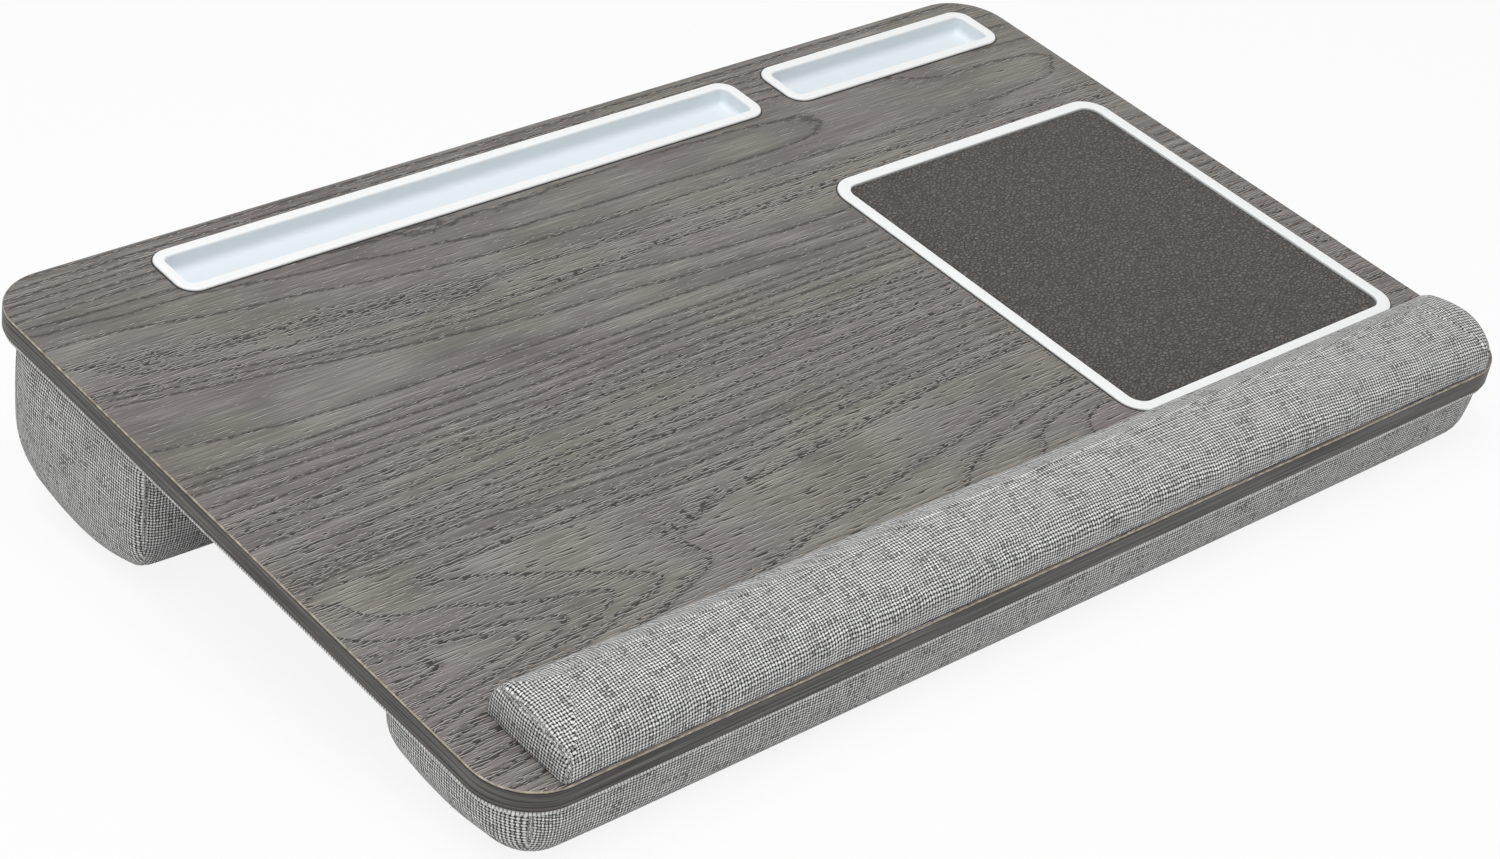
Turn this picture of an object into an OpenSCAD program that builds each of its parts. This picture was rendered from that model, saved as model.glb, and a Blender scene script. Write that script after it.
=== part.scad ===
// Lap desk: a laminated board on two upholstered bolsters, with two desk trays, a mouse pad and a wrist rest.
// The board is drawn flat in its own frame, with X to the right, Y to the rear and Z = 0 on its upper face,
// and then tilted, so that the bolsters stand on the plane Z = 0.

/* [Board] */
// Width of the board from side to side
board_w = 600; // [520:5:700]
// Depth of the board from front to rear
board_d = 384; // [360:2:420]
// Radius of the board's four corners
corner_r = 28; // [20:1:45]
// Slope of the board, its rear edge up, in degrees
tilt = 9.2; // [7.2:0.5:12.2]
// Height of the middle of the upper face above the floor
stand_h = 72.4; // [69.4:0.5:78.4]
// Thickness of the wood-grain laminate
laminate_t = 1; // [0.8:0.1:1.4]
// Width of the bevel around the edge of the laminate
bevel = 0.8; // [0.3:0.1:1]
// Thickness of the fibreboard core
core_t = 9; // [9:0.5:12]
// Thickness of the backing sheet
backing_t = 0.6; // [0.4:0.1:1]
// Thickness of the edge band
band_t = 1; // [0.6:0.1:2]

/* [Trays] */
// Length of the long tray over its flange
long_tray_l = 341; // [260:1:345]
// Length of the short tray over its flange
short_tray_l = 146; // [100:1:150]
// Width of both trays over their flanges
tray_w = 34.5; // [30:0.5:44]
// Corner radius of the flanges
tray_r = 9.5; // [8.5:0.5:12]
// Width of the flange beyond the well's inner wall
flange_w = 5.6; // [4.6:0.1:7]
// Height of the flange above the board
flange_h = 1.2; // [1:0.1:2]
// Width of the bevel around the flange
flange_bevel = 0.8; // [0.3:0.1:0.9]
// Depth of the wells below the board's upper face
well_depth = 8; // [6:0.2:8.2]
// Wall and floor thickness of the trays
tray_wall = 1.2; // [0.8:0.1:1.6]
// Distance from the board's right side to the short tray and the mouse pad
right_margin = 17.4; // [14:0.1:24]
// Distance from the rear edge of the board to the trays
rear_margin = 12; // [10:0.5:18]
// Gap between the two trays
tray_gap = 19.5; // [14:0.5:26]

/* [Mouse pad] */
// Width of the mouse pad over its frame
pad_w = 185; // [150:1:210]
// Depth of the mouse pad over its frame
pad_d = 215; // [190:1:218]
// Gap between the wrist rest and the mouse pad
pad_gap = 6.3; // [4:0.1:12]
// Corner radius of the frame
pad_r = 14; // [10:0.5:20]
// Width of the frame's members
frame_w = 6.6; // [5:0.1:8]
// Height of the frame above the board
frame_h = 1; // [0.8:0.1:1.6]
// Width of the bevel on the frame
frame_bevel = 0.6; // [0.2:0.1:0.7]
// Depth of the recess that the mouse pad lies in
recess_depth = 3.6; // [3:0.1:4.5]
// Thickness of the leather
leather_t = 1.4; // [1:0.1:2]
// Height of the leather's surface above the board
leather_h = 0.3; // [0:0.1:0.6]
// Clearance between an insert and its cut-out, on each side
insert_gap = 0.2; // [0.1:0.05:0.3]

/* [Wrist rest] */
// Distance from the board's sides to the wrist rest
rest_side_margin = 22; // [16:0.5:40]
// Depth of the wrist rest's base from front to rear
rest_d = 50.4; // [44:0.2:52]
// Distance from the board's front edge to the wrist rest
rest_margin = 0.8; // [0.6:0.1:4]
// Distance by which the wrist rest lies to the right of the board's middle
rest_offset = 1.8; // [-4:0.1:4]
// Height of the crest
rest_h = 18.5; // [16:0.5:24]
// Place of the crest, as a share of the depth from the front
rest_crest_at = 0.66; // [0.6:0.01:0.72]
// Radius of the upper edge at the ends
rest_end_round = 6; // [5:0.5:9]
// Radius of the upper edge at the front
rest_front_round = 8; // [6:0.5:10]
// Radius of the upper edge at the rear
rest_rear_round = 12; // [9:0.5:14]
// Radius of the wrist rest's upright corners
rest_corner_r = 3.5; // [3.5:0.5:7]
// Fall from the crest towards the front
rest_fall = 7; // [4:0.5:9]
// Thickness of the stiff strip under the foam
strip_t = 1.2; // [0.8:0.1:2]

/* [Bolsters] */
// Distance from the board's edge to the bolsters' walls
bolster_inset = 3.8; // [3.6:0.1:6]
// Depth of the rear bolster from front to rear
rear_bolster_d = 106; // [90:1:112]
// Distance from the board's rear edge to the rear bolster
rear_bolster_margin = 20; // [14:1:26]
// Depth of the front bolster from front to rear
front_bolster_d = 90; // [80:1:100]
// Depth of the flat that each bolster is pressed to where it stands
rest_cut = 0.5; // [0.4:0.1:0.8]
// Fall of the underside from its crown over the crown's half width
crown_drop = 5; // [3:0.5:7]
// Half width of the crown
crown_half = 33; // [28:1:40]
// Swell of the walls at half their height
swell = 0.6; // [0:0.1:2]
// Fall of the underside from the middle of a bolster to its ends
end_fall = 2.5; // [0:0.5:4]
// Thickness of the cover, of fabric backed with wadding
cover_t = 2; // [1.2:0.1:3]

/* [Bolster edges] */
// Place of the rear bolster's crown, as a share of its depth from the front
rear_crown_at = 0.48; // [0.42:0.01:0.54]
// Radius of the rear bolster's lower edge at the ends
rear_end_round = 18; // [14:1:24]
// Radius of the rear bolster's lower edge at the front
rear_front_round = 18; // [10:1:22]
// Radius of the rear bolster's lower edge at the rear
rear_rear_round = 40; // [30:1:44]
// Radius of the rear bolster's upright front corners
rear_front_corner_r = 7; // [5:0.5:10]
// Radius of the rear bolster's upright rear corners
rear_rear_corner_r = 8; // [5:0.5:12]
// Place of the front bolster's crown, as a share of its depth from the front
front_crown_at = 0.28; // [0.24:0.01:0.34]
// Radius of the front bolster's lower edge at the ends
front_end_round = 24; // [18:1:28]
// Radius of the front bolster's lower edge at the front
front_front_round = 14; // [10:1:18]
// Radius of the front bolster's lower edge at the rear
front_rear_round = 30; // [26:1:38]
// Radius of the front bolster's upright rear corners
front_rear_corner_r = 14; // [8:1:18]

/* [Underside] */
// Thickness of the fabric panel under the board
panel_t = 2.4; // [1.6:0.1:3]
// Diameter of the rolled hem around the panel
hem_d = 3; // [2:0.1:3.4]
// Distance from the board's edge to the hem
hem_inset = 0.7; // [0.4:0.1:1.2]

/* [Hidden] */

$fn = 96;
// Margin by which a cutter passes the face it opens
over = 1;

// Levels in the board's frame, from the upper face down
core_top = -laminate_t;
core_bottom = core_top - core_t;
board_bottom = core_bottom - backing_t;
panel_bottom = board_bottom - panel_t;
board_t = -board_bottom;

// Shift that brings the middle of the whole desk over the origin
shift_y = -board_t * sin(tilt) / 2;

// Edges of the trays and the mouse pad in the board's frame
right_x = board_w / 2 - right_margin;
tray_rear = board_d / 2 - rear_margin;
tray_y = tray_rear - tray_w / 2;
short_x = right_x - short_tray_l / 2;
long_x = right_x - short_tray_l - tray_gap - long_tray_l / 2;
pad_x = right_x - pad_w / 2;
rest_y0 = rest_margin - board_d / 2;
pad_y = rest_y0 + rest_d + pad_gap + pad_d / 2;

// Places a point or a shape of the board's frame on the floor
function height_at(p) = p[1] * sin(tilt) + p[2] * cos(tilt) + stand_h;
function place(p) = [p[0], p[1] * cos(tilt) - p[2] * sin(tilt) + shift_y,
                     abs(height_at(p)) < 0.001 ? 0 : height_at(p)];
module tilted() {
    translate([0, shift_y, stand_h]) rotate([tilt, 0, 0]) children();
}

// Flat outline with round corners
module round_rect(w, d, r) {
    square([w - 2 * r, d], center = true);
    square([w, d - 2 * r], center = true);
    for (x = [-1, 1], y = [-1, 1]) translate([x * (w / 2 - r), y * (d / 2 - r)]) circle(r = r);
}

// Plate with round corners that stands on Z = 0
module plate(w, d, r, t) {
    linear_extrude(height = t) round_rect(w, d, r);
}

// Plate whose upper edge is bevelled all round
module bevelled_plate(w, d, r, t, b) {
    union() {
        rotate([90, 0, 90]) linear_extrude(height = w - 2 * r, center = true) bevelled_section(d, t, b);
        rotate([90, 0, 0]) linear_extrude(height = d - 2 * r, center = true) bevelled_section(w, t, b);
        for (x = [-1, 1], y = [-1, 1]) translate([x * (w / 2 - r), y * (d / 2 - r), 0]) {
            cylinder(r = r, h = t - b);
            translate([0, 0, t - b]) cylinder(r1 = r, r2 = r - b, h = b);
        }
    }
}
module bevelled_section(w, t, b) {
    polygon([[-w / 2, 0], [w / 2, 0], [w / 2, t - b], [w / 2 - b, t], [b - w / 2, t], [-w / 2, t - b]]);
}

// Board
module tray_holes(depth, gap) {
    well_w = tray_w - 2 * flange_w + 2 * tray_wall + 2 * gap;
    well_r = tray_r - flange_w + tray_wall + gap;
    for (t = [[long_x, long_tray_l], [short_x, short_tray_l]])
        translate([t[0], tray_y, -depth])
            plate(t[1] - 2 * flange_w + 2 * tray_wall + 2 * gap, well_w, well_r, depth + over);
}
module pad_hole(depth) {
    translate([pad_x, pad_y, -depth])
        plate(pad_w + 2 * insert_gap, pad_d + 2 * insert_gap, pad_r + insert_gap, depth + over);
}
module board_core() {
    color("#a98f6c") tilted() difference() {
        translate([0, 0, core_bottom])
            plate(board_w - 2 * band_t, board_d - 2 * band_t, corner_r - band_t, core_t);
        tray_holes(well_depth + tray_wall, insert_gap);
        pad_hole(recess_depth);
    }
}
module top_laminate() {
    color("#7b7571") tilted() difference() {
        translate([0, 0, core_top]) bevelled_plate(board_w, board_d, corner_r, laminate_t, bevel);
        tray_holes(laminate_t + over, insert_gap);
        pad_hole(laminate_t + over);
    }
}
module backing_sheet() {
    color("#6d6a68") tilted() translate([0, 0, board_bottom])
        plate(board_w - 2 * band_t, board_d - 2 * band_t, corner_r - band_t, backing_t);
}
module edge_band() {
    color("#5f5f5d") tilted() translate([0, 0, board_bottom]) linear_extrude(height = core_t + backing_t)
        difference() {
            round_rect(board_w, board_d, corner_r);
            round_rect(board_w - 2 * band_t, board_d - 2 * band_t, corner_r - band_t);
        }
}

// Trays
module trough(l, w, r, t, $fn = 24) {
    translate([0, 0, r]) plate(l, w, r, t - r);
    translate([0, 0, r / 2]) cube([l - 2 * r, w - 2 * r, r], center = true);
    for (s = [-1, 1]) {
        translate([0, s * (w / 2 - r), r]) rotate([0, 90, 0]) cylinder(r = r, h = l - 2 * r, center = true);
        translate([s * (l / 2 - r), 0, r]) rotate([90, 0, 0]) cylinder(r = r, h = w - 2 * r, center = true);
        for (e = [-1, 1]) translate([s * (l / 2 - r), e * (w / 2 - r), r]) sphere(r = r);
    }
}
module tray(length) {
    inner_l = length - 2 * flange_w;
    inner_w = tray_w - 2 * flange_w;
    inner_r = tray_r - flange_w;
    difference() {
        union() {
            bevelled_plate(length, tray_w, tray_r, flange_h, flange_bevel);
            translate([0, 0, -well_depth - tray_wall])
                plate(inner_l + 2 * tray_wall, inner_w + 2 * tray_wall, inner_r + tray_wall,
                      well_depth + tray_wall + flange_h / 2);
        }
        translate([0, 0, -well_depth]) trough(inner_l, inner_w, inner_r, well_depth + flange_h + over);
    }
}
module long_tray() {
    color("#f2f4f5") tilted() translate([long_x, tray_y, 0]) tray(long_tray_l);
}
module short_tray() {
    color("#f2f4f5") tilted() translate([short_x, tray_y, 0]) tray(short_tray_l);
}

// Mouse pad
opening_w = pad_w - 2 * frame_w;
opening_d = pad_d - 2 * frame_w;
opening_r = pad_r - frame_w;
module mouse_pad_frame() {
    color("#f2f2f0") tilted() translate([pad_x, pad_y, -recess_depth]) difference() {
        bevelled_plate(pad_w, pad_d, pad_r, recess_depth + frame_h, frame_bevel);
        translate([0, 0, -over])
            plate(opening_w, opening_d, opening_r, recess_depth + frame_h + 2 * over);
    }
}
module pad_sheet(z, t) {
    tilted() translate([pad_x, pad_y, z])
        plate(opening_w, opening_d, opening_r, t);
}
module mouse_pad_leather() {
    color("#4f4b48") pad_sheet(leather_h - leather_t, leather_t);
}
module mouse_pad_foam() {
    color("#33312f") pad_sheet(-recess_depth, recess_depth + leather_h - leather_t);
}

// Underside
hem_sides = 16;
module underside_panel() {
    inset = hem_inset + hem_d;
    color("#9a9a99") tilted() translate([0, 0, panel_bottom])
        plate(board_w - 2 * inset, board_d - 2 * inset, corner_r - inset, panel_t);
}
module hem_run(l) {
    cylinder(d = hem_d, h = l, center = true, $fn = hem_sides);
}
module underside_hem() {
    inset = hem_inset + hem_d / 2;
    x = board_w / 2 - corner_r;
    y = board_d / 2 - corner_r;
    r = corner_r - inset;
    color("#b4b4b2") tilted() translate([0, 0, board_bottom - hem_d / 2]) {
        for (s = [-1, 1]) {
            translate([0, s * (y + r), 0]) rotate([0, 90, 0]) hem_run(2 * x);
            translate([s * (x + r), 0, 0]) rotate([90, 0, 0]) hem_run(2 * y);
        }
        for (c = [[1, 1, 0], [-1, 1, 90], [-1, -1, 180], [1, -1, 270]])
            translate([c[0] * x, c[1] * y, 0]) rotate([0, 0, c[2]])
                rotate_extrude(angle = 90) translate([r, 0]) circle(d = hem_d, $fn = hem_sides);
    }
}

// Cushion forms. A form is a stack of rings of points. They go from the rim, where the cushion meets
// the board, along the wall, round the edge and inwards to a narrow spine.
arc_points = 4;
side_points = 9;
ring_n = 2 + 4 * arc_points + 2 * side_points;
wall_steps = [0, 1 / 3, 2 / 3];
edge_angles = [0, 22.5, 45, 67.5];
inner_steps = [0, 1 / 3, 2 / 3, 1];
ring_k = len(wall_steps) + len(edge_angles) + len(inner_steps);
// Ring at which an end panel's seam runs round the edge
seam_ring = len(wall_steps) + 2;
// Points between the middle of an end and its seam
seam_points = 3;
// Radius of the corners inside the shoulder
shoulder_r = 3;
// Largest share of a wall's height that its rounded edge takes
wall_share = 0.8;

function blend(a, b, f) = a + (b - a) * f;
function arc(x, y, r, from) =
    [for (i = [0:arc_points - 1])
        let (a = from + 90 * i / (arc_points - 1)) [x + r * cos(a), y + r * sin(a)]];
// Closed outline of a rounded rectangle, with radius rf at the front corners and rr at the rear ones.
// Its ends bow out a little.
end_bow = 0.6;
function outline(x0, x1, y0, y1, rf, rr) = concat(
    [[x0 - end_bow, (y0 + y1) / 2]],
    arc(x0 + rf, y0 + rf, rf, 180),
    [for (i = [1:side_points]) [blend(x0 + rf, x1 - rf, i / (side_points + 1)), y0]],
    arc(x1 - rf, y0 + rf, rf, 270),
    [[x1 + end_bow, (y0 + y1) / 2]],
    arc(x1 - rr, y1 - rr, rr, 0),
    [for (i = [1:side_points]) [blend(x1 - rr, x0 + rr, i / (side_points + 1)), y1]],
    arc(x0 + rr, y1 - rr, rr, 90));

// Rings of a form: box is [x0, x1, y0, y1], corners is [front, rear], edges is [end, front, rear] and
// spine is [y, half width]. level(x, y) is the height of the face away from the board, and side is -1
// below the board and 1 above it.
function rings(box, corners, edges, spine, rim, bulge, side, level) =
    let (
        rim_line = outline(box[0], box[1], box[2], box[3], corners[0], corners[1]),
        shoulder = outline(box[0] + edges[0], box[1] - edges[0], box[2] + edges[1], box[3] - edges[2],
                           shoulder_r, shoulder_r),
        reach = edges[0] + (box[3] - box[2] - edges[1] - edges[2]) / 2,
        spine_line = outline(box[0] + reach, box[1] - reach, spine[0] - spine[1], spine[0] + spine[1],
                             spine[1] / 2, spine[1] / 2),
        edge_r = [for (j = [0:ring_n - 1]) norm(rim_line[j] - shoulder[j])],
        out = [for (j = [0:ring_n - 1]) (rim_line[j] - shoulder[j]) / edge_r[j]],
        foot = [for (p = shoulder) level(p[0], p[1])],
        wall_end = [for (j = [0:ring_n - 1]) foot[j] - side * min(edge_r[j], abs(foot[j] - rim) * wall_share)]
    )
    concat(
        [for (h = wall_steps) [for (j = [0:ring_n - 1])
            let (p = rim_line[j] + out[j] * bulge * sin(180 * h)) [p[0], p[1], blend(rim, wall_end[j], h)]]],
        [for (a = edge_angles) [for (j = [0:ring_n - 1])
            let (p = blend(rim_line[j], shoulder[j], 1 - cos(a)))
                [p[0], p[1], blend(wall_end[j], foot[j], sin(a))]]],
        [for (f = inner_steps) [for (j = [0:ring_n - 1])
            let (p = blend(shoulder[j], spine_line[j], f)) [p[0], p[1], level(p[0], p[1])]]]);

// Faces. Point j of ring k has the number k * ring_n + j, and the inner skin's numbers follow the
// outer skin's.
function number(k, j) = k * ring_n + (j % ring_n);
function turned(faces, turn) = turn ? [for (f = faces) [f[0], f[2], f[1]]] : faces;
function quad(a, b, c, d) = [[a, b, c], [a, c, d]];
function patch(k, j) = quad(number(k, j), number(k, j + 1), number(k + 1, j + 1), number(k + 1, j));
function cap(k) = concat(
    [[number(k, 0), number(k, 1), number(k, ring_n - 1)]],
    [for (j = [1:ring_n / 2 - 2])
        each quad(number(k, j), number(k, j + 1), number(k, ring_n - j - 1), number(k, ring_n - j))],
    [[number(k, ring_n / 2 - 1), number(k, ring_n / 2), number(k, ring_n / 2 + 1)]]);
function moved(faces, by) = [for (f = faces) [f[0] + by, f[1] + by, f[2] + by]];

// The panel that the patch after point j and ring k belongs to: 0 is the wrap, 1 the left end and
// 2 the right end
function panel_of(k, j) =
    k >= seam_ring ? 0 :
    (j < seam_points || j >= ring_n - seam_points) ? 1 :
    (j >= ring_n / 2 - seam_points && j < ring_n / 2 + seam_points) ? 2 : 0;
function in_panel(panel, k, j) =
    k >= 0 && k < ring_k - 1 && panel_of(k, (j + ring_n) % ring_n) == panel;

// One sewn panel of a cover, between an outer and an inner skin
module cover_panel(outer, inner, panel, turn) {
    skin = ring_k * ring_n;
    patches = [for (k = [0:ring_k - 2], j = [0:ring_n - 1]) if (in_panel(panel, k, j)) [k, j]];
    face = concat(
        [for (p = patches) each patch(p[0], p[1])],
        panel == 0 ? cap(ring_k - 1) : []);
    edges = [for (p = patches) let (k = p[0], j = p[1]) each [
        if (!in_panel(panel, k - 1, j)) [number(k, j), number(k, j + 1)],
        if (!in_panel(panel, k, j + 1)) [number(k, j + 1), number(k + 1, j + 1)],
        if (!in_panel(panel, k + 1, j) && k < ring_k - 2) [number(k + 1, j + 1), number(k + 1, j)],
        if (!in_panel(panel, k, j - 1)) [number(k + 1, j), number(k, j)]]];
    walls = [for (e = edges) each quad(e[1], e[0], e[0] + skin, e[1] + skin)];
    used = concat(face, moved(turned(face, true), skin), walls);
    polyhedron(points = [for (r = concat(outer, inner), p = r) place(p)], faces = turned(used, turn));
}

// Solid that fills the inner skin of a cover
module filling(inner, turn) {
    faces = concat(
        [for (k = [0:ring_k - 2], j = [0:ring_n - 1]) each patch(k, j)],
        cap(ring_k - 1), turned(cap(0), true));
    polyhedron(points = [for (r = inner, p = r) place(p)], faces = turned(faces, turn));
}

// Bolsters. The underside is a crown that the floor cuts flat.
function floor_level(y) = -(stand_h + y * sin(tilt)) / cos(tilt);
flat_half = crown_half * sqrt(rest_cut / crown_drop);
// Slack that keeps the flat's edge points on the floor
flat_slack = 0.0001;
// The higher the power, the closer to the ends their fall begins
end_power = 14;
function crowned(x, y, crest, half) =
    let (fall = crown_drop * pow((y - crest) / crown_half, 2) + end_fall * pow(abs(x) / half, end_power))
        floor_level(y) + max(0, fall - rest_cut - flat_slack);
function shrunk(box, t) = [box[0] + t, box[1] - t, box[2] + t, box[3] - t];

bolster_half = board_w / 2 - bolster_inset;
rear_y1 = board_d / 2 - rear_bolster_margin;
rear_box = [-bolster_half, bolster_half, rear_y1 - rear_bolster_d, rear_y1];
rear_corners = [rear_front_corner_r, rear_rear_corner_r];
rear_edges = [rear_end_round, rear_front_round, rear_rear_round];
rear_crest = rear_y1 - rear_bolster_d * (1 - rear_crown_at);
front_y0 = bolster_inset - board_d / 2;
front_box = [-bolster_half, bolster_half, front_y0, front_y0 + front_bolster_d];
front_corners = [corner_r - bolster_inset, front_rear_corner_r];
front_edges = [front_end_round, front_front_round, front_rear_round];
front_crest = front_y0 + front_bolster_d * front_crown_at;

function thinner(edges, t) = [for (e = edges) e - t];
function bolster_skin(box, corners, edges, crest, t) =
    rings(shrunk(box, t), thinner(corners, t), thinner(edges, t), [crest, flat_half], panel_bottom, swell, -1,
          function (x, y) crowned(x, y, crest, bolster_half) + t);
rear_outer = bolster_skin(rear_box, rear_corners, rear_edges, rear_crest, 0);
rear_inner = bolster_skin(rear_box, rear_corners, rear_edges, rear_crest, cover_t);
front_outer = bolster_skin(front_box, front_corners, front_edges, front_crest, 0);
front_inner = bolster_skin(front_box, front_corners, front_edges, front_crest, cover_t);

module rear_bolster_wrap() {
    color("#a2a2a1") cover_panel(rear_outer, rear_inner, 0, false);
}
module rear_bolster_left_end() {
    color("#a8a8a7") cover_panel(rear_outer, rear_inner, 1, false);
}
module rear_bolster_right_end() {
    color("#a8a8a7") cover_panel(rear_outer, rear_inner, 2, false);
}
module rear_bolster_foam() {
    color("#e6e0c8") filling(rear_inner, false);
}
module front_bolster_wrap() {
    color("#a2a2a1") cover_panel(front_outer, front_inner, 0, false);
}
module front_bolster_left_end() {
    color("#a8a8a7") cover_panel(front_outer, front_inner, 1, false);
}
module front_bolster_right_end() {
    color("#a8a8a7") cover_panel(front_outer, front_inner, 2, false);
}
module front_bolster_foam() {
    color("#e6e0c8") filling(front_inner, false);
}

// Wrist rest. Its crest lies near the rear, and it falls towards the front.
rest_l = board_w - 2 * rest_side_margin;
rest_box = [rest_offset - rest_l / 2, rest_offset + rest_l / 2, rest_y0, rest_y0 + rest_d];
rest_corners = [rest_corner_r, rest_corner_r];
rest_edges = [rest_end_round, rest_front_round, rest_rear_round];
rest_crest = rest_y0 + rest_d * rest_crest_at;
// Half width of the narrow spine that closes the form
rest_spine = 2;
function rest_level(y) = rest_h - rest_fall * pow((y - rest_crest) / (rest_crest - rest_y0), 2);
function rest_skin(t, rim) =
    rings(shrunk(rest_box, t), thinner(rest_corners, t), thinner(rest_edges, t), [rest_crest, rest_spine],
          rim, swell / 2, 1,
          function (x, y) rest_level(y) - t);
rest_outer = rest_skin(0, 0);
rest_inner = rest_skin(cover_t, 0);
rest_fill = rest_skin(cover_t, strip_t);

module wrist_rest_wrap() {
    color("#a6a6a5") cover_panel(rest_outer, rest_inner, 0, true);
}
module wrist_rest_left_end() {
    color("#acacab") cover_panel(rest_outer, rest_inner, 1, true);
}
module wrist_rest_right_end() {
    color("#acacab") cover_panel(rest_outer, rest_inner, 2, true);
}
module wrist_rest_foam() {
    color("#e6e0c8") filling(rest_fill, true);
}
module wrist_rest_strip() {
    inset = cover_t + insert_gap;
    color("#3b3a38") tilted() translate([rest_offset, rest_y0 + rest_d / 2, 0])
        plate(rest_l - 2 * inset, rest_d - 2 * inset, rest_corner_r - inset, strip_t);
}

board_core();
top_laminate();
backing_sheet();
edge_band();
long_tray();
short_tray();
mouse_pad_frame();
mouse_pad_leather();
mouse_pad_foam();
wrist_rest_wrap();
wrist_rest_left_end();
wrist_rest_right_end();
wrist_rest_foam();
wrist_rest_strip();
underside_panel();
underside_hem();
rear_bolster_wrap();
rear_bolster_left_end();
rear_bolster_right_end();
rear_bolster_foam();
front_bolster_wrap();
front_bolster_left_end();
front_bolster_right_end();
front_bolster_foam();
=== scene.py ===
"""Looks of a sloping lap desk on two upholstered bolsters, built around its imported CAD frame.

Lengths in this file are in millimetres, in the board's own frame: X to the right, Y to the rear and
Z = 0 on the board's upper face. BoardPlane.place brings them into the desk's frame, in metres.
"""

import logging
import math
from dataclasses import dataclass, field
from enum import Enum

import bmesh
import bpy
import numpy as np
from mathutils import Matrix, Vector
from mathutils.geometry import delaunay_2d_cdt


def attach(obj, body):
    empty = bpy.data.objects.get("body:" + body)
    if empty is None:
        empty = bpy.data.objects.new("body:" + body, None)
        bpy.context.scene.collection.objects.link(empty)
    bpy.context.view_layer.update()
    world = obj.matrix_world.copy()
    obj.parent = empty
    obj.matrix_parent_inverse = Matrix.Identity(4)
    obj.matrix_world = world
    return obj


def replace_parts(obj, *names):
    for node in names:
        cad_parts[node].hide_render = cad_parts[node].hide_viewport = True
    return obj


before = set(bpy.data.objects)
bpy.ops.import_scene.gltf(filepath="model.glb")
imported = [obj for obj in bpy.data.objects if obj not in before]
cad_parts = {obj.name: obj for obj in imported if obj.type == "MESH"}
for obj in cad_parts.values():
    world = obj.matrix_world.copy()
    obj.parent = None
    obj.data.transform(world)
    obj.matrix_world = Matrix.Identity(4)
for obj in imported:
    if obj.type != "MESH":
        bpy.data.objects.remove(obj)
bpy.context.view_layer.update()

log = logging.getLogger("lap_desk")

BODY = "root"


def linear(code: str) -> tuple[float, float, float, float]:
    """Turns an sRGB hex colour into linear light.

    Args:
        code: the colour as six hex digits.

    Returns:
        Red, green, blue and alpha, as a colour socket takes them.
    """
    srgb = np.array([int(code[i : i + 2], 16) for i in (0, 2, 4)]) / 255
    light = np.where(srgb <= 0.04045, srgb / 12.92, ((srgb + 0.055) / 1.055) ** 2.4)
    return (*light.tolist(), 1.0)


@dataclass(frozen=True)
class BoardPlane:
    """Upper face of the board, which slopes up to the rear over the floor."""

    tilt: float = math.radians(9.2)
    height: float = 72.4
    board_t: float = 10.6

    @property
    def shift(self) -> float:
        """Distance along Y that brings the desk's middle over the origin."""
        return -self.board_t * math.sin(self.tilt) / 2

    def place(self, points: np.ndarray) -> np.ndarray:
        """Turns points about X by the slope and lifts them to the board's height.

        Args:
            points: array of points in the board's frame, in millimetres.

        Returns:
            The points in the desk's frame, in metres.
        """
        c, s = math.cos(self.tilt), math.sin(self.tilt)
        x, y, z = points[..., 0], points[..., 1], points[..., 2]
        placed = np.stack([x, y * c - z * s + self.shift, y * s + z * c + self.height], axis=-1)
        return placed / 1000

    def unplace(self, points: np.ndarray) -> np.ndarray:
        """Turns points of the desk's frame, in metres, back into the board's, in millimetres."""
        c, s = math.cos(self.tilt), math.sin(self.tilt)
        y, z = points[..., 1] * 1000 - self.shift, points[..., 2] * 1000 - self.height
        return np.stack([points[..., 0] * 1000, y * c + z * s, z * c - y * s], axis=-1)

    def floor_level(self, y: np.ndarray) -> np.ndarray:
        """Level of the floor under the board, measured square to the board."""
        return -(self.height + y * math.sin(self.tilt)) / math.cos(self.tilt)


PLANE = BoardPlane()


# Shader graphs


def add(tree: bpy.types.NodeTree, kind: str, inputs: dict | tuple = (), out: int | str | None = 0,
        stops: tuple = (), **settings) -> bpy.types.NodeSocket | bpy.types.Node:
    """Adds one node to a shader graph, with its settings, links and colour stops.

    Args:
        tree: the graph.
        kind: type of the node, without its ShaderNode prefix.
        inputs: values, hex colours or outputs for its inputs, in order, or by name or number.
        out: the output to return, or None for the node itself.
        stops: place and hex colour of each stop of a colour ramp.
        settings: properties of the node.

    Returns:
        The output, or the node.
    """
    made = tree.nodes.new("ShaderNode" + kind)
    for name, value in settings.items():
        setattr(made, name, value)
    for key, value in (inputs if isinstance(inputs, dict) else dict(enumerate(inputs))).items():
        if isinstance(value, bpy.types.NodeSocket):
            tree.links.new(value, made.inputs[key])
        else:
            made.inputs[key].default_value = linear(value) if isinstance(value, str) else value
    for number, (place, code) in enumerate(stops):
        elements = made.color_ramp.elements
        element = elements[number] if number < len(elements) else elements.new(place)
        element.position, element.color = place, linear(code)
    return made if out is None else made.outputs[out]


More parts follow.
